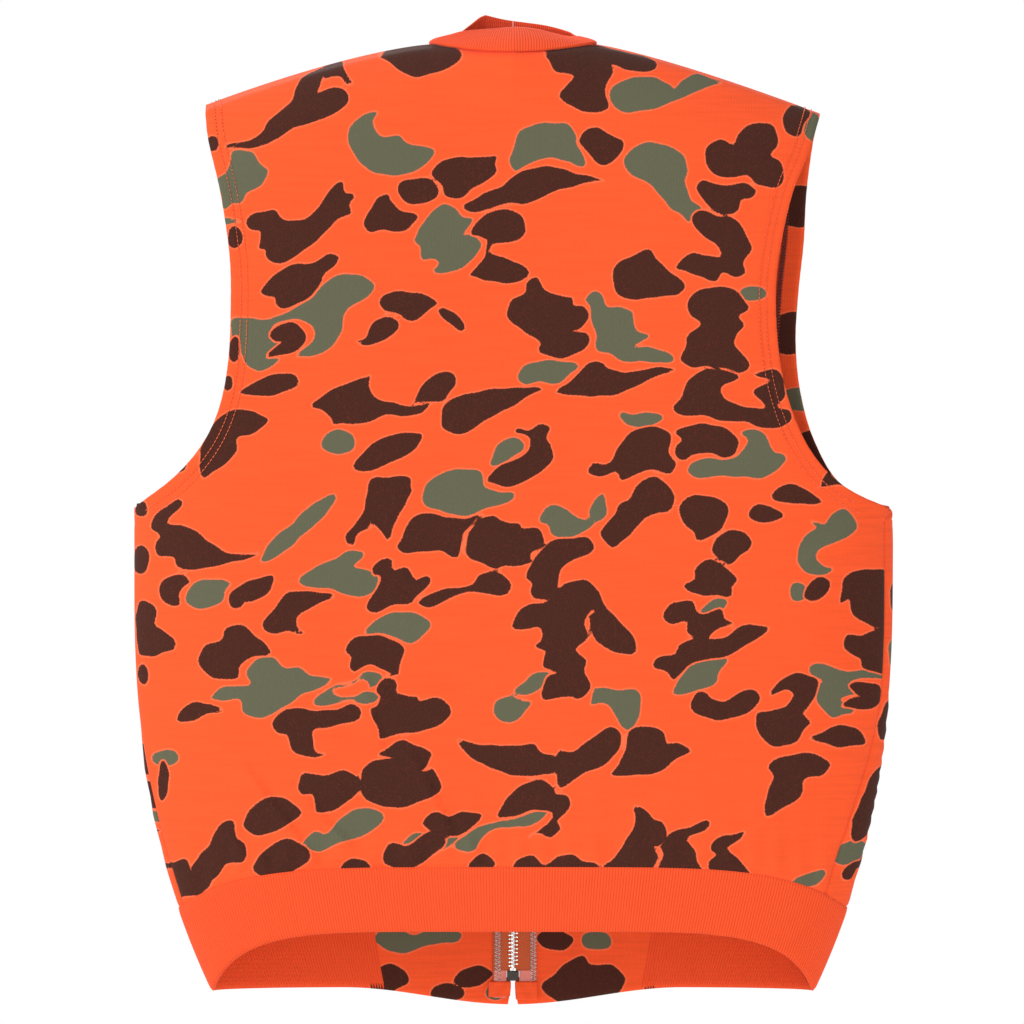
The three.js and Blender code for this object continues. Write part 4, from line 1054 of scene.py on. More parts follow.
BAND_BROWN = [
    Motif(-95, -699, 31, 24, (0, 30, 25, 85, 60, 100, 95, 80, 100, 45, 70, 20, 40, 0, 10, 5)),
    Motif(-30, -696, 30, 16, (0, 30, 30, 90, 70, 100, 100, 60, 70, 15, 30, 0)),
    Motif(-50, -708, 26, 13, PEBBLE),
    Motif(32, -668, 27, 16, (0, 60, 30, 100, 70, 90, 100, 60, 80, 10, 40, 0, 10, 20)),
    Motif(53, -699, 64, 38, (0, 35, 15, 60, 30, 85, 50, 100, 60, 80, 85, 82, 100, 55, 90, 25, 65, 5, 40, 0, 20, 8)),
    Motif(104, -707, 11, 9, PEBBLE),
]
BAND_GREY_GREEN = [
    Motif(-72, -668, 66, 21, (0, 60, 20, 100, 45, 70, 75, 100, 100, 75, 90, 40, 60, 30, 30, 0, 10, 20)),
    Motif(63, -669, 23, 14, PEBBLE),
    Motif(-14, -708, 14, 12, PEBBLE),
]


SIDE_BROWN = [
    Motif(274, -562, 20, 58, PEBBLE),
    Motif(263, -613, 16, 14, PEBBLE),
    Motif(281, -500, 12, 30, PEBBLE),
    Motif(279, -408, 16, 34, PEBBLE),
]
SIDE_GREY_GREEN = [Motif(274, -599, 24, 18, PEBBLE), Motif(280, -450, 14, 26, PEBBLE)]
HEM_BROWN = [Motif(216, -113, 44, 32, PEBBLE), Motif(211, -209, 40, 32, PEBBLE), Motif(232, -299, 44, 36, PEBBLE)]
HEM_GREY_GREEN = [Motif(217, -259, 30, 18, PEBBLE)]


def print_distance(motifs: list[Motif], x: Array, z: Array, far: float = 6.0) -> Array:
    """Distance in millimetres from each place to the nearest printed shape, negative inside one.

    Args:
        motifs: The shapes of one colour.
        x: Places across the cloth.
        z: Places up the cloth.
        far: Largest distance that matters.

    Returns:
        An array like x.
    """
    flat_x, flat_z = x.ravel(), z.ravel()
    wander_x = flat_x + 0.5 * np.sin(flat_z / 5.3) + 0.3 * np.sin(flat_z / 2.3 + flat_x / 7)
    wander_z = flat_z + 0.5 * np.sin(flat_x / 6.1 + 1) + 0.3 * np.sin(flat_x / 2.7 - flat_z / 6)
    best = np.full(flat_x.shape, far)
    for motif in motifs:
        line = motif.line()
        low, high = line.min(axis=0) - far, line.max(axis=0) + far
        near = (wander_x > low[0]) & (wander_x < high[0]) & (wander_z > low[1]) & (wander_z < high[1])
        if not near.any():
            continue
        px, pz = wander_x[near], wander_z[near]
        after = np.roll(line, -1, axis=0)
        distance = np.full(px.shape, far * far)
        inside = np.zeros(px.shape, bool)
        for (ax, az), (bx, bz) in zip(line, after):
            dx, dz = bx - ax, bz - az
            t = np.clip(((px - ax) * dx + (pz - az) * dz) / (dx * dx + dz * dz), 0, 1)
            distance = np.minimum(distance, (px - ax - t * dx) ** 2 + (pz - az - t * dz) ** 2)
            crosses = (az > pz) != (bz > pz)
            if dz:
                inside ^= crosses & (px < ax + (pz - az) / dz * dx)
        signed = np.sqrt(distance) * np.where(inside, -1, 1)
        best[near] = np.minimum(best[near], signed)
    return best.reshape(x.shape)


# ---------------------------------------------------------------- panels


def eased(count: int, ends: float = 0.5) -> Array:
    """Places from 0 to 1 that crowd towards both ends by the share ends."""
    even = np.linspace(0, 1, count)
    return lerp(even, 0.5 - 0.5 * np.cos(math.pi * even), ends)


def coons(left: Array, right: Array, bottom: Array, top: Array, u: Array, v: Array) -> Array:
    """Grid of points between four edges; left and right run up, bottom and top run across."""
    u, v = u[None, :, None], v[:, None, None]
    across = lerp(left[:, None], right[:, None], u)
    up = lerp(bottom[None], top[None], v)
    corners = lerp(lerp(bottom[0], bottom[-1], u), lerp(top[0], top[-1], u), v)
    return across + up - corners


def nearest(points: Array, line: Array) -> Array:
    """Distance from each point of a grid to a line of points."""
    flat = points.reshape(-1, points.shape[-1])
    best = np.full(len(flat), 1e9)
    for spot in line:
        best = np.minimum(best, ((flat - spot) ** 2).sum(axis=1))
    return np.sqrt(best).reshape(points.shape[:-1])


@dataclass
class Fold:
    """The line on which a front folds back, and how far the bend spreads."""

    side: Side
    spread: float = 24

    def blend(self, piece: bpy.types.Object) -> None:
        """Bakes the piece's transform into its mesh; it works out the front's hinge axis and the inward direction but
        does not use them.
        """
        body = f"{self.side.word}_front"
        joint = next(j for j in frame["record"]["behaviour"]["joints"] if j["child"] == body)
        axis = Vector(joint["axis"]).normalized()
        inward = Vector((-self.side.value, 0, 0))
        inward = (inward - axis * inward.dot(axis)).normalized()
        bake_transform(piece)


@dataclass
class Panels:
    """The three printed panels, their hems and the threads that hold the hems."""

    drape: Drape
    thickness: float = 1.9
    hem_width: float = 16
    hem_step: float = 1.5
    rows: int = 230
    columns: int = 200
    front_columns: int = 110
    front_edge: float = 5.0
    tuck: float = 2.5  # how far the panels reach down inside the waistband

    LEFT_ARMHOLE = [
        (-231, -42), (-228, -66), (-219, -104), (-212, -151), (-211, -190), (-213, -232), (-220, -267),
        (-233, -294), (-254, -318), (-285, -341),
    ]
    RIGHT_BACK_ARMHOLE = [
        (231, -45), (221, -76), (209, -106), (200, -146), (196.5, -180), (198.5, -222), (206, -260),
        (222, -297), (247, -324), (285, -343),
    ]
    RIGHT_FRONT_ARMHOLE = [
        (231, -45), (226.5, -66), (222, -103), (220, -140), (216, -178), (214, -215), (217.5, -253),
        (228, -290), (248, -323), (285, -343),
    ]
    LEFT_FRONT_ARMHOLE = [
        (231, -45), (225, -80), (217, -118), (212, -166), (209, -210), (213, -256), (224, -290),
        (244, -323), (285, -343),
    ]

    def up_edge(self, armhole: list[tuple[float, float]], shift) -> Array:
        """A panel's outer edge from the waistband up, then along the armhole to the shoulder.

        Args:
            armhole: The armhole's points, from the shoulder down.
            shift: Function of height that gives how far the side seam lies past the side.

        Returns:
            Points (unrolled distance, height), one per row.
        """
        share = 0.45
        side_rows = int(self.rows * share)
        z = np.linspace(self.drape.seam_side, armhole[-1][1], side_rows, endpoint=False)
        sign = math.copysign(1, armhole[0][0])
        side = np.stack([sign * (self.drape.half_width(z) + shift(z)), z], axis=1)
        hole = curve_through(armhole[::-1], self.rows - side_rows)
        return np.vstack([side, hole])

    @staticmethod
    def right_shift(z: Array) -> Array:
        """How far the right side seam has turned towards the back."""
        return 6 * smooth(341, 352, -z) + 14 * smooth(470, 620, -z)

    @staticmethod
    def left_shift(z: Array) -> Array:
        """How far the left side seam has turned towards the back, near the waistband only."""
        return 4 * smooth(470, 630, -z)

    def layers(self, middle: Array, hem: Array, seams: Array) -> tuple[Array, Array]:
        """Outer and inner faces round a surface, with a turned hem and sunken seams.

        Args:
            middle: Grid of points on the cloth, its normals facing out.
            hem: Distance of each point from the armhole edge.
            seams: Distance of each point from the nearest seam.

        Returns:
            The outer and the inner grid.
        """
        normal = grid_normals(middle)
        sink = 1.1 * np.exp(-((seams / 2.0) ** 2))
        pucker = 0.25 * np.exp(-(((hem - 10) / 3.5) ** 2)) + 0.8 * np.exp(-((hem / 0.9) ** 2))
        outer = middle + normal * (self.thickness / 2 - sink - pucker)[..., None]
        doubled = self.hem_step * (1 - smooth(self.hem_width - 1, self.hem_width + 1, hem))
        inner_depth = self.thickness / 2 + doubled + sink * 0.6 - 0.8 * np.exp(-((hem / 0.9) ** 2))
        return outer, middle - normal * inner_depth[..., None]

    def back(self) -> bpy.types.Object:
        """Builds the back panel with its print and its armhole stitching."""
        d = self.drape
        left = self.up_edge(self.LEFT_ARMHOLE, lambda z: -self.left_shift(z))
        right = self.up_edge(self.RIGHT_BACK_ARMHOLE, lambda z: -self.right_shift(z))
        u = eased(self.columns)
        reach_left, reach_right = left[0, 0], right[0, 0]
        x = lerp(reach_left, reach_right, u)
        bottom = np.stack([x, d.back_band(x / d.half_width(d.seam_side), 1) - self.tuck], axis=1)
        left[0, 1], right[0, 1] = bottom[0, 1], bottom[-1, 1]
        shoulder_columns = int(self.columns * 0.36)
        neck_columns = self.columns - 2 * shoulder_columns
        xs = np.concatenate(
            [
                np.linspace(left[-1, 0], -d.neck_half, shoulder_columns, endpoint=False),
                np.linspace(-d.neck_half, d.neck_half, neck_columns, endpoint=False),
                np.linspace(d.neck_half, right[-1, 0], shoulder_columns),
            ]
        )
        top_z = np.where(np.abs(xs) < d.neck_half, d.back_neck(xs), d.ridge(xs))
        top = np.stack([xs, top_z], axis=1)
        left[-1], right[-1] = top[0], top[-1]
        v = (left[:, 1] - left[0, 1]) / (left[-1, 1] - left[0, 1])
        flat = coons(left, right, bottom, top, u, v)
        middle = d.back(flat[..., 0], flat[..., 1])
        hole = np.vstack([curve_through(self.LEFT_ARMHOLE, 160), curve_through(self.RIGHT_BACK_ARMHOLE, 160)])
        hem = nearest(flat, hole)
        seams = nearest(middle, np.vstack([middle[0], middle[-1], *self.side_lines(middle)]))
        outer, inner = self.layers(middle, hem, seams)
        build = Build.empty()
        sheet_between(
            build, outer, inner, (0, self.inner_slots(hem), 0),
            brown=print_distance(BROWN, flat[..., 0], flat[..., 1]),
            green=print_distance(GREY_GREEN, flat[..., 0], flat[..., 1]),
        )
        piece = build.piece("back_panel_cloth", [PRINT, FLEECE])
        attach(piece, "root")
        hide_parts("back_panel")
        for side in Side:
            self.hem_threads(hem, np.concatenate([middle, grid_normals(middle)], axis=2), side, "back")
        log.info("back_panel_cloth: %d faces", len(piece.data.polygons))
        return piece

    def inner_slots(self, hem: Array) -> Array:
        """Slot of each quad of a panel's inner face: print where the hem is turned in, fleece elsewhere."""
        return np.where(hem[:-1, :-1] < self.hem_width, 0, 1).ravel()

    def side_lines(self, middle: Array) -> tuple[Array, Array]:
        """The side seams of a full-width panel, below the armholes."""
        end = int(self.rows * 0.45)
        return middle[:end, 0], middle[:end, -1]

    def hem_line(self, grid: Array, hem: Array, distance: float, side: Side, which: str) -> Array:
        """Line on a grid at one distance from an armhole's edge.

        Args:
            grid: Values at each place; the line's values are read from it.
            hem: Distance of each place from the edge.
            distance: The line's distance.
            side: The armhole's side.
            which: The panel, "back" or "front".

        Returns:
            One row of values for each grid row from the underarm up.
        """
        half = hem.shape[1] // 2
        last = hem.shape[1] - 1
        span = range(last) if which == "front" else range(half, last) if side is Side.RIGHT else range(half)
        if which == "front" or side is Side.RIGHT:
            span = span[::-1]
        line = []
        for row in range(int(self.rows * 0.45) - 6, len(hem)):
            off = hem[row] - distance
            crossing = next((i for i in span if off[i] * off[i + 1] <= 0), None)
            if crossing is not None and off[crossing] != off[crossing + 1]:
                t = off[crossing] / (off[crossing] - off[crossing + 1])
                line.append(lerp(grid[row, crossing], grid[row, crossing + 1], t))
        return np.array(line)

    def hem_threads(self, hem: Array, both: Array, side: Side, which: str) -> None:
        """Sews an armhole's hem with two rows of stitches, and overlocks its raw edge inside.

        Args:
            hem: Distance of each place from the armhole's edge.
            both: Points on the cloth and their outward normals, side by side.
            side: The armhole's side.
            which: The panel, "back" or "front".
        """
        build = Build.empty()
        for distance in (7.5, 12.5):
            line = self.hem_line(both, hem, distance, side, which)
            stitches(build, line[:, :3] + line[:, 3:] * 0.5 * self.thickness, line[:, 3:])
        piece = build.piece(f"{side.word}_{which}_armhole_stitches", [ORANGE_THREAD])
        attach(piece, "root")
        raw = self.hem_line(both, hem, self.hem_width - 4.2, side, which)
        edge = self.hem_line(both, hem, self.hem_width, side, which)
        count = min(len(raw), len(edge))
        raw, edge = raw[-count:-7], edge[-count:-7]
        path = raw[:, :3] - raw[:, 3:] * (self.thickness / 2 + self.hem_step + 0.25)
        reach = edge[:, :3] - raw[:, :3]
        reach /= np.maximum(np.linalg.norm(reach, axis=1, keepdims=True), 1e-9)
        inside = Build.empty()
        overlock(inside, path, reach, 4.2, 2.4, 0)
        overlock(inside, path - raw[:, 3:] * 0.2 + [0, 0, 1.1], reach, 4.2, 2.4, 1)
        piece = inside.piece(f"{side.word}_{which}_armhole_overlock", [RED_THREAD, BLACK_THREAD])
        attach(piece, "root")

    def front(self, side: Side) -> bpy.types.Object:
        """Builds one front panel from its folded edge at the zip round to the side seam."""
        d = self.drape
        sign = side.value
        armhole = self.RIGHT_FRONT_ARMHOLE if side is Side.RIGHT else self.LEFT_FRONT_ARMHOLE
        shift = self.right_shift if side is Side.RIGHT else self.left_shift
        outer_edge = self.up_edge(armhole, shift)
        seam_z = d.front_band(self.front_edge, 1) - self.tuck
        quarter = math.acos(self.front_edge / d.neck_half)
        neck_z = d.neck_top - d.neck_drop * math.sin(quarter)
        inner_edge = np.stack(
            [np.full(self.rows, self.front_edge), lerp(seam_z, neck_z, eased(self.rows, 0.3))], axis=1
        )
        even = np.linspace(0, 1, self.front_columns)
        u = lerp(even, np.sin(math.pi / 2 * even), 0.5)
        x = lerp(self.front_edge, outer_edge[0, 0], u)
        bottom = np.stack([x, d.front_band(x, 1) - self.tuck], axis=1)
        neck_columns = int(self.front_columns * 0.42)
        turn = np.linspace(quarter, 0, neck_columns, endpoint=False)
        neck = np.stack([d.neck_half * np.cos(turn), d.neck_top - d.neck_drop * np.sin(turn)], axis=1)
        xs = np.linspace(d.neck_half, armhole[0][0], self.front_columns - neck_columns)
        top = np.vstack([neck, np.stack([xs, d.ridge(sign * xs)], axis=1)])
        outer_edge[0, 1] = bottom[-1, 1]
        outer_edge[-1] = top[-1]
        v = eased(self.rows, 0.3)
        flat = coons(inner_edge, outer_edge, bottom, top, u, v)
        middle = d.wrapped(sign * flat[..., 0], flat[..., 1])
        hem = nearest(flat, curve_through(armhole, 160))
        end = int(self.rows * 0.45)
        seams = nearest(middle, np.vstack([middle[0], middle[-1], middle[:end, -1]]))
        if side is Side.RIGHT:
            flat_out, middle = flat[:, ::-1], middle[:, ::-1]
            hem, seams = hem[:, ::-1], seams[:, ::-1]
        else:
            flat_out = flat
        outer, inner = self.layers(middle, hem, seams)
        shift_x = -287 if side is Side.RIGHT else 287
        px = sign * flat_out[..., 0] + shift_x
        build = Build.empty()
        z = flat_out[..., 1]
        brown, green = print_distance(BROWN, px, z), print_distance(GREY_GREEN, px, z)
        inside_brown, inside_green = brown, green
        if side is Side.RIGHT:
            x = flat_out[..., 0]
            open_side = x > 262
            brown = np.where(open_side, print_distance(SIDE_BROWN, x, z), brown)
            green = np.where(open_side, print_distance(SIDE_GREY_GREEN, x, z), green)
            inside_brown, inside_green = print_distance(HEM_BROWN, x, z), print_distance(HEM_GREY_GREEN, x, z)
        sheet_between(
            build, outer, inner, (0, self.inner_slots(hem), 0),
            brown=np.stack([brown, inside_brown]),
            green=np.stack([green, inside_green]),
        )
        piece = build.piece(f"{side.word}_front_cloth", [PRINT, FLEECE])
        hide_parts(f"{side.word}_front_side", f"{side.word}_front_flap")
        Fold(side).blend(piece)
        turn = -1 if side is Side.RIGHT else 1
        both = np.concatenate([middle, grid_normals(middle)], axis=2)
        self.hem_threads(hem[:, ::turn], both[:, ::turn], side, "front")
        log.info("%s: %d faces", piece.name, len(piece.data.polygons))
        return piece

    def make(self) -> None:
        """Builds all three panels."""
        self.back()
        for side in Side:
            self.front(side)


# ---------------------------------------------------------------- rib trims


def ribbed(middle: Array, run: Array, thickness: float, pitch: float, deep: float) -> tuple[Array, Array, Array]:
    """Faces of a rib trim round a surface.

    Args:
        middle: Grid of points.
        run: Distance along the trim at each column, in millimetres.
        thickness: Thickness of the trim at its ribs.
        pitch: Distance from rib to rib.
        deep: Depth of the grooves.

    Returns:
        The outer grid, the inner grid and the groove values from 0 to 1.
    """
    normal = grid_normals(middle)
    wave = 0.5 + 0.5 * np.cos(2 * math.pi * run / pitch)
    groove = np.broadcast_to((1 - wave)[None, :] ** 1.5, middle.shape[:2])
    half = thickness / 2
    outer = middle + normal * (half - deep * groove)[..., None]
    inner = middle - normal * (half - deep * (1 - groove))[..., None]
    return outer, inner, groove


def along(points: Array) -> Array:
    """Distance along a line of points."""
    return np.concatenate([[0], np.cumsum(np.linalg.norm(np.diff(points, axis=0), axis=1))])


@dataclass
class Collar:
    """Stand collar of folded rib, leaning in towards the neck and a little slumped."""

    drape: Drape
    thickness: float = 3.0
    pitch: float = 2.1
    deep: float = 0.45
    lift: float = 0.6
    half: tuple[float, float] = (42, 48)  # left and right; it slumps to the right
    back_y: float = -6
    front_y: float = 34
    rows: int = 26
    step: float = 0.35

    BACK_TOP = [(-42, 15.5), (-21, 19.5), (0, 20), (20, 18), (40, 14), (48, 13)]
    FRONT_TOP = [(-42, 15.5), (-32, 23), (-23, 30.5), (-16, 31), (13, 25), (40, 20), (48, 13)]

    def seam(self, around: Array) -> Array:
        """Points on the neck seam; around is 0 at the centre back and pi at the centre front."""
        d = self.drape
        back_x = d.neck_half * np.sin(around)
        back = d.back(back_x, d.back_neck(back_x))
        turn = np.clip(around - math.pi / 2, 0, math.pi / 2)
        front_x = d.neck_half * np.cos(turn)
        front = d.front(front_x, d.neck_top - d.neck_drop * np.sin(turn))
        return np.where((around <= math.pi / 2)[..., None], back, front)

    def points(self, around: Array, up: Array) -> Array:
        """Grid of points on the collar.

        Args:
            around: Angle of each column, negative on the left.
            up: Share of the height of each row.

        Returns:
            Points, rows by columns by three.
        """
        a = np.abs(around)
        sign = np.where(around < 0, -1, 1)
        low = self.seam(a)
        low[:, 0] *= sign
        low[:, 2] += self.lift
        middle = (self.back_y + self.front_y) / 2
        reach = (self.front_y - self.back_y) / 2
        x = np.where(around < 0, -self.half[0], self.half[1]) * np.sin(a)
        back_top, front_top = curve_through(self.BACK_TOP, 80), curve_through(self.FRONT_TOP, 80)
        z = np.where(a > math.pi / 2, np.interp(x, *front_top.T), np.interp(x, *back_top.T))
        high = np.stack([x, middle - reach * np.cos(a), z], axis=1)
        grid = lerp(low[None], high[None], up[:, None, None])
        swell = (4 + 1.5 * np.sin(3 * around + 1))[None, :] * np.sin(math.pi * up)[:, None]
        grid[..., 0] += swell * np.sin(around)[None]
        grid[..., 1] -= swell * np.cos(around)[None]
        grid[..., 2] += 0.8 * np.sin(around * 5 + 0.5)[None] * up[:, None] ** 2
        return grid

    def part(self, name: str, start: float, end: float) -> bpy.types.Object:
        """Builds a stretch of the collar from one angle to another."""
        coarse = np.linspace(start, end, 160)
        line = along(self.seam(np.abs(coarse)) * np.stack([np.where(coarse < 0, -1, 1), *[np.ones(160)] * 2], axis=1))
        count = int(line[-1] / self.step)
        around = np.interp(np.linspace(0, line[-1], count), line, coarse)
        up = np.linspace(0, 1, self.rows)
        grid = self.points(around, up)
        offset = self.drape.neck_half * 1.2 * start
        run = offset + np.linspace(0, line[-1], count)
        outer, inner, groove = ribbed(grid, run, self.thickness, self.pitch, self.deep)
        round_top = 1 - smooth(0.9, 1.0, up)[:, None, None] * 0.75
        middle = (outer + inner) / 2
        outer, inner = lerp(middle, outer, round_top), lerp(middle, inner, round_top)
        build = Build.empty()
        sheet_between(build, outer, inner, (0, 1, 0), groove=groove)
        piece = build.piece(name, [RIB, RIB_INSIDE])
        log.info("%s: %d faces", name, len(piece.data.polygons))
        return piece

    def make(self) -> None:
        """Builds the back stretch and the two fronts."""
        joint = math.pi / 2 + 0.05
        back = self.part("collar_rib_back", -joint, joint)
        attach(back, "root")
        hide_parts("collar_back")
        for side in Side:
            ends = sorted((side.value * joint, side.value * (math.pi - 0.003)))
            front = self.part(f"{side.word}_collar_rib", *ends)
            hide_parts(f"{side.word}_collar")
            Fold(side).blend(front)


@dataclass
class Waistband:
    """Rib waistband with a printed end piece on each side of the zip."""

    drape: Drape
    thickness: float = 3.4
    pitch: float = 2.1
    deep: float = 0.5
    step: float = 0.42
    rows: int = 22
    end_reach: float = 108
    end_thickness: float = 2.2
    front_edge: float = 5.0

    def rib(self, name: str, share: Array, front: Array, sign: int) -> bpy.types.Object:
        """Builds a stretch of rib.

        Args:
            name: The piece's name.
            share: Share of the half width of each column.
            front: Whether each column lies on the front.
            sign: 1 to keep the order of columns, -1 to turn it.

        Returns:
            The piece.
        """
        d = self.drape
        up = np.linspace(0, 1, self.rows)
        lines = []
        for level in up:
            z_front = d.front_band(share * d.half_width(lerp(d.hem_side, d.seam_side, level)), level)
            z_back = d.back_band(share, level)
            z = np.where(front, z_front, z_back)
            x = share * d.half_width(np.where(front, lerp(d.hem_side, d.seam_side, level), z))
            lines.append(np.where(front[:, None], self.plain_front(x, z), self.plain_back(x, z)))
        grid = np.stack(lines)
        if sign < 0:
            grid = grid[:, ::-1]
        run = along(grid[self.rows // 2])
        outer, inner, groove = ribbed(grid, run, self.thickness, self.pitch, self.deep)
        squeeze = 1 - 0.7 * (1 - smooth(0.0, 0.06, up))[:, None, None]
        middle = (outer + inner) / 2
        pull = 1 - 0.45 * smooth(0.93, 1.0, up)[:, None, None]
        outer, inner = lerp(middle, outer, squeeze * pull), lerp(middle, inner, squeeze * pull)
        build = Build.empty()
        sheet_between(build, outer, inner, (0, 0, 0), groove=groove)
        piece = build.piece(name, [RIB])
        log.info("%s: %d faces", name, len(piece.data.polygons))
        return piece

    def plain_back(self, x: Array, z: Array) -> Array:
        """The back surface without the panel's creases, drawn in a little by the rib."""
        d = self.drape
        low = smooth(d.taper_start, -d.seam_side, -z)
        depth = lerp(d.back_depth, d.back_hem_depth, low)
        return np.stack([x, -depth * d.fullness(x, z) - d.band_wave(x, z), z], axis=-1)

    def plain_front(self, x: Array, z: Array) -> Array:
        """The front surface without ripples."""
        d = self.drape
        return np.stack([x, d.front_depth * d.fullness(x, z), z], axis=-1)

    def columns(self, start: float, end: float) -> Array:
        """Shares of the half width from start to end, evenly spaced round the curve."""
        share = np.linspace(start, end, 600)
        x = share * self.drape.half_width(self.drape.seam_side)
        run = along(self.plain_back(x, np.full(600, self.drape.seam_side)))
        return np.interp(np.linspace(0, run[-1], int(run[-1] / self.step)), run, share)

    def make(self) -> None:
        """Builds the back rib, the two front ribs and the end pieces."""
        back_share = self.columns(-1, 1)
        back = self.rib("waistband_rib_back", back_share, np.zeros(len(back_share), bool), 1)
        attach(back, "root")
        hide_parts("waistband_back")
        for side in Side:
            start = self.end_reach / self.drape.half_width(self.drape.seam_side)
            share = self.columns(start, 1.0)
            front = self.rib(
                f"{side.word}_waistband_rib", side.value * share, np.ones(len(share), bool), -side.value
            )
            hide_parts(f"{side.word}_waistband_front")
            Fold(side).blend(front)
            self.end_piece(side)

    def end_piece(self, side: Side) -> None:
        """Builds a printed end piece, folded double at the hem."""
        d = self.drape
        up = np.linspace(0, 1, 46)
        share = np.linspace(0, 1, 70) ** 1.3
        edge = np.interp(up, [0, 0.12, 0.2, 0.28, 0.32], [3.8, 2.4, 1.5, 1.5, self.front_edge])
        lines = [lerp(start, self.end_reach, share) for start in edge]
        grid = np.stack([self.plain_front(side.value * x, d.front_band(x, level)) for x, level in zip(lines, up)])
        if side is Side.RIGHT:
            grid = grid[:, ::-1]
        normal = grid_normals(grid)
        soft = 0.5 * np.sin(grid[..., 0] / 21) * np.sin(grid[..., 2] / 17)
        seam = 1 - 0.55 * smooth(0.94, 1.0, up)[:, None] - 0.5 * (1 - smooth(0, 0.05, up))[:, None]
        half = self.end_thickness / 2 * seam
        outer = grid + normal * half[..., None]
        inner = grid - normal * (half + 0.3 * soft)[..., None]
        build = Build.empty()
        sheet_between(
            build, outer, inner, (0, 0, 0),
            brown=print_distance(BAND_BROWN, grid[..., 0], grid[..., 2]),
            green=print_distance(BAND_GREY_GREEN, grid[..., 0], grid[..., 2]),
        )
        self.turned_end(build, side)
        piece = build.piece(f"{side.word}_band_end_cloth", [PRINT])
        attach(piece, f"{side.word}_front")
        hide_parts(f"{side.word}_band_end")

    def turned_end(self, build: Build, side: Side) -> None:
        """Adds the corner of the end piece that is turned in over the tape's lower end."""
        across, up = np.meshgrid(np.linspace(0, 1, 14), np.linspace(0, 1, 12))
        foot = self.drape.hem_side - self.drape.front_dip
        low = foot + (5.8 if side is Side.LEFT else 3.2) + 0 * across
        rounded = 0.7 * (1 - up) ** 3 * (1 - across) ** 3
        x = lerp(1.6 + rounded, 18.5, across)
        z = lerp(low, foot + 17.5, up) + rounded
        y = node_box(f"{side.word}_zip_film")[0][1] - 1.3 + 0.25 * np.sin(9 * across + 5 * up)
        grid = np.stack([side.value * x, y, z], axis=-1)
        depth = np.array([0.0, 0.8, 0.0])
        print_off = np.full(x.shape, 6.0)
        sheet_between(build, grid - depth, grid + depth, (0, 0, 0), brown=print_off, green=print_off)


# ---------------------------------------------------------------- zip


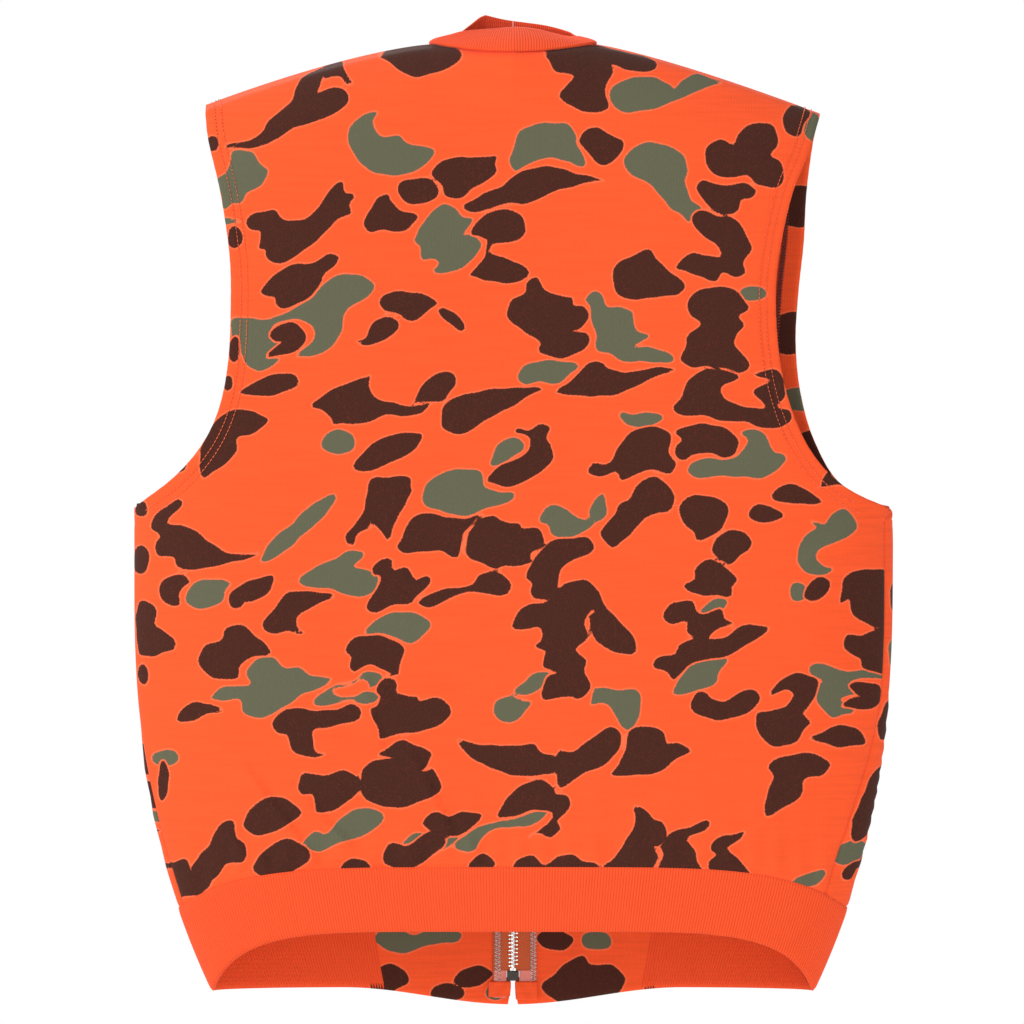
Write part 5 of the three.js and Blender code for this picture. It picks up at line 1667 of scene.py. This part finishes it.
@dataclass
class Zip:
    """Separating metal zip with its tapes, teeth, slider and the threads that hold it."""

    drape: Drape
    pitch: float = 2.9
    half: float = 3.0
    crossing: float = 0.9

    def tape(self, side: Side) -> None:
        """Weaves a tape with the corded edge that the teeth grip and three raised lines."""
        low, high = node_box(f"{side.word}_zip_tape")
        sign = side.value
        inner, outer = 1.05, max(abs(low[0]), abs(high[0]))
        across = np.array([0, 0.3, 0.9, 2.2, 2.8, 4.5, 4.9, 5.3, 8, 8.4, 8.8, 12.2, 12.7, outer - inner])
        raised = np.array([0.3, 0.75, 0.95, 0.75, 0.3, 0.3, 0.42, 0.3, 0.3, 0.42, 0.3, 0.3, 0.4, 0.22])
        middle = (low[1] + high[1]) / 2
        box_high = node_box("retainer_box")[1]
        beside_top = box_high[2] + 0.05
        rows = np.sort(np.append(np.linspace(low[2], high[2], 260), [beside_top, beside_top + 0.1]))
        sway = 0.12 * np.sin(rows / 9)
        front = np.zeros((len(rows), len(across), 3))
        front[..., 0] = sign * (inner + across)
        front[..., 2] = rows[:, None]
        back = front.copy()
        front[..., 1] = middle + raised[None] + sway[:, None] * (across > 4)
        back[..., 1] = middle - raised[None] + sway[:, None] * (across > 4)
        beside = (rows <= beside_top)[:, None] & (np.abs(front[..., 0]) < box_high[0] + 0.3)
        for face in (front, back):
            face[..., 0] = np.where(beside, sign * (box_high[0] + 0.3), face[..., 0])
        build = Build.empty()
        sheet_between(build, front, back, (0, 0, 0))
        piece = build.piece(f"{side.word}_woven_tape", [TAPE])
        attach(piece, f"{side.word}_front")
        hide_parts(f"{side.word}_zip_tape")

    def teeth(self, side: Side) -> None:
        """Clamps one row of teeth on its tape."""
        low, high = node_box(f"{side.word}_zip_teeth")
        sign = side.value
        middle = (low[1] + high[1]) / 2
        reach = np.array([3.75, 3.6, 2.7, 2.0, 1.5, 0.2, -0.6, -0.9])
        depth = np.array([0.75, 1.2, 1.3, 1.25, 0.95, 0.9, 0.75, 0.35])
        height = np.array([0.45, 0.62, 0.66, 0.62, 0.5, 0.52, 0.5, 0.25])
        corner = np.array([(-1, -0.55), (-0.6, -1), (0.6, -1), (1, -0.55), (1, 0.55), (0.6, 1), (-0.6, 1),
            (-1, 0.55)])
        start = high[2] - 0.8 - (self.pitch / 2 if side is Side.RIGHT else 0)
        build = Build.empty()
        quads = grid_quads(len(reach), len(corner))
        j = np.arange(len(reach) - 1) * 8
        seam = np.stack([j + 7, j, j + 8, j + 15], axis=1)
        caps = [[0, 1, 2, 3], [0, 3, 4, 7], [4, 5, 6, 7]]
        caps += [[c + 56 for c in reversed(cap)] for cap in caps]
        faces = np.vstack([quads, seam, caps])
        for z in np.arange(start, low[2] + 0.8, -self.pitch):
            points = np.zeros((len(reach), 8, 3))
            points[..., 0] = sign * reach[:, None]
            points[..., 1] = middle + depth[:, None] * corner[None, :, 1]
            points[..., 2] = z + height[:, None] * corner[None, :, 0]
            build.add(points.reshape(-1, 3), faces)
        piece = build.piece(f"{side.word}_teeth_row", [BRIGHT], soft=False)
        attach(piece, f"{side.word}_front")
        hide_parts(f"{side.word}_zip_teeth")
        log.info("%s: %d faces", piece.name, len(piece.data.polygons))

    def polished(self, node: str, body: str, finish: Finish, bevel: float) -> bpy.types.Object:
        """A packed metal part again, with the rounded edges of a casting or pressing.

        Args:
            node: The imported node.
            body: The body it rides on.
            finish: Its finish.
            bevel: Width of the rounding, in millimetres.

        Returns:
            The piece.
        """
        source = frame["nodes"][node]
        mesh = source.data.copy()
        mesh.transform(source.matrix_world)
        work = bmesh.new()
        work.from_mesh(mesh)
        bmesh.ops.remove_doubles(work, verts=work.verts, dist=1e-6)
        bmesh.ops.dissolve_limit(work, angle_limit=0.02, verts=work.verts, edges=work.edges)
        sharp = [e for e in work.edges if len(e.link_faces) == 2 and e.calc_face_angle(0) > 0.4]
        bmesh.ops.bevel(
            work, geom=sharp, offset=bevel * MM, segments=2, profile=0.6, affect="EDGES", clamp_overlap=True
        )
        bmesh.ops.triangulate(work, faces=work.faces)
        work.to_mesh(mesh)
        work.free()
        mesh.name = node + "_polished"
        piece = bpy.data.objects.new(node + "_polished", mesh)
        bpy.context.scene.collection.objects.link(piece)
        mesh.materials.clear()
        mesh.materials.append(finish.material())
        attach(piece, body)
        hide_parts(node)
        return piece

    def threads(self, side: Side) -> None:
        """Sews the tape: two topstitched lines outside, and overlocking on the raw edge inside."""
        d = self.drape
        sign = side.value
        z = np.linspace(d.front_band(5, 0) + 9, -46, 300)
        top = Build.empty()
        for x in (8.0, 14.0):
            y = np.full(len(z), d.front_depth + 1.1)
            path = np.stack([np.full(len(z), sign * x), y, z], axis=1)
            stitches(top, path, np.tile([0.0, 1.0, 0.0], (len(z), 1)), 2.8, 3.4)
        piece = top.piece(f"{side.word}_zip_topstitch", [ORANGE_THREAD])
        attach(piece, f"{side.word}_front")
        inside = Build.empty()
        start = 9.0 if side is Side.LEFT else 13.0
        back = node_box(f"{side.word}_zip_tape")[0][1] - 0.5
        path = np.stack([np.full(len(z), sign * start), np.full(len(z), back), z], axis=1)
        reach = np.tile([float(sign), 0.0, 0.0], (len(z), 1))
        overlock(inside, path, reach, 5.0, 2.9, 0)
        shifted = path + [0, -0.25, 1.3]
        overlock(inside, shifted, reach, 5.0, 2.9, 1)
        piece = inside.piece(f"{side.word}_zip_overlock", [WHITE_THREAD, PINK_THREAD])
        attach(piece, f"{side.word}_front")

    def make(self) -> None:
        """Builds both halves, then the slider and the end fittings."""
        for side in Side:
            self.tape(side)
            self.teeth(side)
            self.threads(side)
            body = f"{side.word}_front"
            self.polished(f"{side.word}_top_stop", body, BRIGHT, 0.4)
            self.polished(f"{side.word}_zip_film", body, FILM, 0.08)
        self.polished("insertion_pin", "left_front", BRIGHT, 0.4)
        self.polished("retainer_pin", "right_front", BRIGHT, 0.4)
        self.polished("retainer_box", "right_front", DARK, 0.5)
        self.polished("zip_slider", "slider", BRIGHT, 0.35)
        self.polished("pull_tab", "tab", BRIGHT, 0.35)


@dataclass
class StayTapes:
    """Woven tapes inside the neck and shoulder seams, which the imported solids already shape."""

    def make(self) -> None:
        """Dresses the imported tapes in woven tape."""
        for node in ("neck_tape", "left_shoulder_tape", "right_shoulder_tape"):
            mesh = frame["nodes"][node].data
            mesh.materials.clear()
            mesh.materials.append(STAY.material())


# ---------------------------------------------------------------- studio


@dataclass
class Studio:
    """A pale floor, soft light and a camera level with the middle of the back."""

    lens: float = 300.0  # a long lens, so that near and far cloth keep the same scale
    frame_height: float = 768.0
    centre_x: float = -0.7
    centre_z: float = -344.0
    focus_y: float = -20.0
    floor_drop: float = 650.0
    floor_radius: float = 1900.0

    def camera(self) -> None:
        """Sets up the camera."""
        data = bpy.data.cameras.new("camera")
        data.lens = self.lens
        data.sensor_width = 36.0
        distance = self.frame_height * self.lens / data.sensor_width
        made = bpy.data.objects.new("camera", data)
        made.location = Vector((self.centre_x, self.focus_y - distance, self.centre_z)) * MM
        made.rotation_euler = (math.pi / 2, 0, 0)
        bpy.context.scene.collection.objects.link(made)
        bpy.context.scene.camera = made

    def lamp(self, name: str, spot: tuple[float, float, float], size: float, power: float) -> None:
        """Adds a soft square lamp aimed at the middle of the vest, in metres and watts."""
        data = bpy.data.lights.new(name, "AREA")
        data.size = size
        data.energy = power
        made = bpy.data.objects.new(name, data)
        made.location = spot
        aim = Vector((0, 0, self.centre_z * MM)) - Vector(spot)
        made.rotation_euler = aim.to_track_quat("-Z", "Y").to_euler()
        bpy.context.scene.collection.objects.link(made)

    def floor(self) -> None:
        """Lays a round pale floor well below the hem."""
        work = bmesh.new()
        bmesh.ops.create_circle(work, cap_ends=True, radius=self.floor_radius * MM, segments=96)
        mesh = bpy.data.meshes.new("floor")
        work.to_mesh(mesh)
        work.free()
        made = bpy.data.objects.new("floor", mesh)
        made.location.z = cad_box[0][2] - self.floor_drop * MM
        material = bpy.data.materials.new("matt_white_floor")
        material.use_nodes = True
        principled = material.node_tree.nodes["Principled BSDF"]
        wire(material.node_tree, principled, {"Base Color": linear("#F4F3F1"), "Roughness": 0.9})
        mesh.materials.append(material)
        bpy.context.scene.collection.objects.link(made)

    def sky(self) -> None:
        """White surroundings that also fill the shadows."""
        world = bpy.data.worlds.new("white_room")
        world.use_nodes = True
        tree = world.node_tree
        seen = add(tree, "LightPath", out="Is Camera Ray")
        strength = add(tree, "MapRange", {"Value": seen, 3: 0.68, 4: 1.0})
        wire(tree, tree.nodes["Background"], {"Color": (1, 1, 1, 1), "Strength": strength})
        bpy.context.scene.world = world

    def make(self) -> None:
        """Sets up everything, with plain colour reproduction."""
        bpy.context.scene.view_settings.view_transform = "Standard"
        self.camera()
        self.floor()
        self.sky()
        self.lamp("key_lamp", (-2.4, -1.3, 1.2), 1.0, 51)
        self.lamp("fill_lamp", (2.4, -1.6, 0.2), 2.0, 6)
        self.lamp("low_lamp", (0.3, -2.3, -0.95), 0.7, 10)
        self.lamp("front_lamp", (-1.2, 2.6, 1.0), 1.8, 50)


def main() -> None:
    """Builds the vest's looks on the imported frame."""
    logging.basicConfig(level=logging.INFO, format="%(message)s")
    Studio().make()
    drape = Drape.from_frame()
    Panels(drape).make()
    Collar(drape).make()
    Waistband(drape).make()
    Zip(drape).make()
    StayTapes().make()


if __name__ == "__main__":
    main()
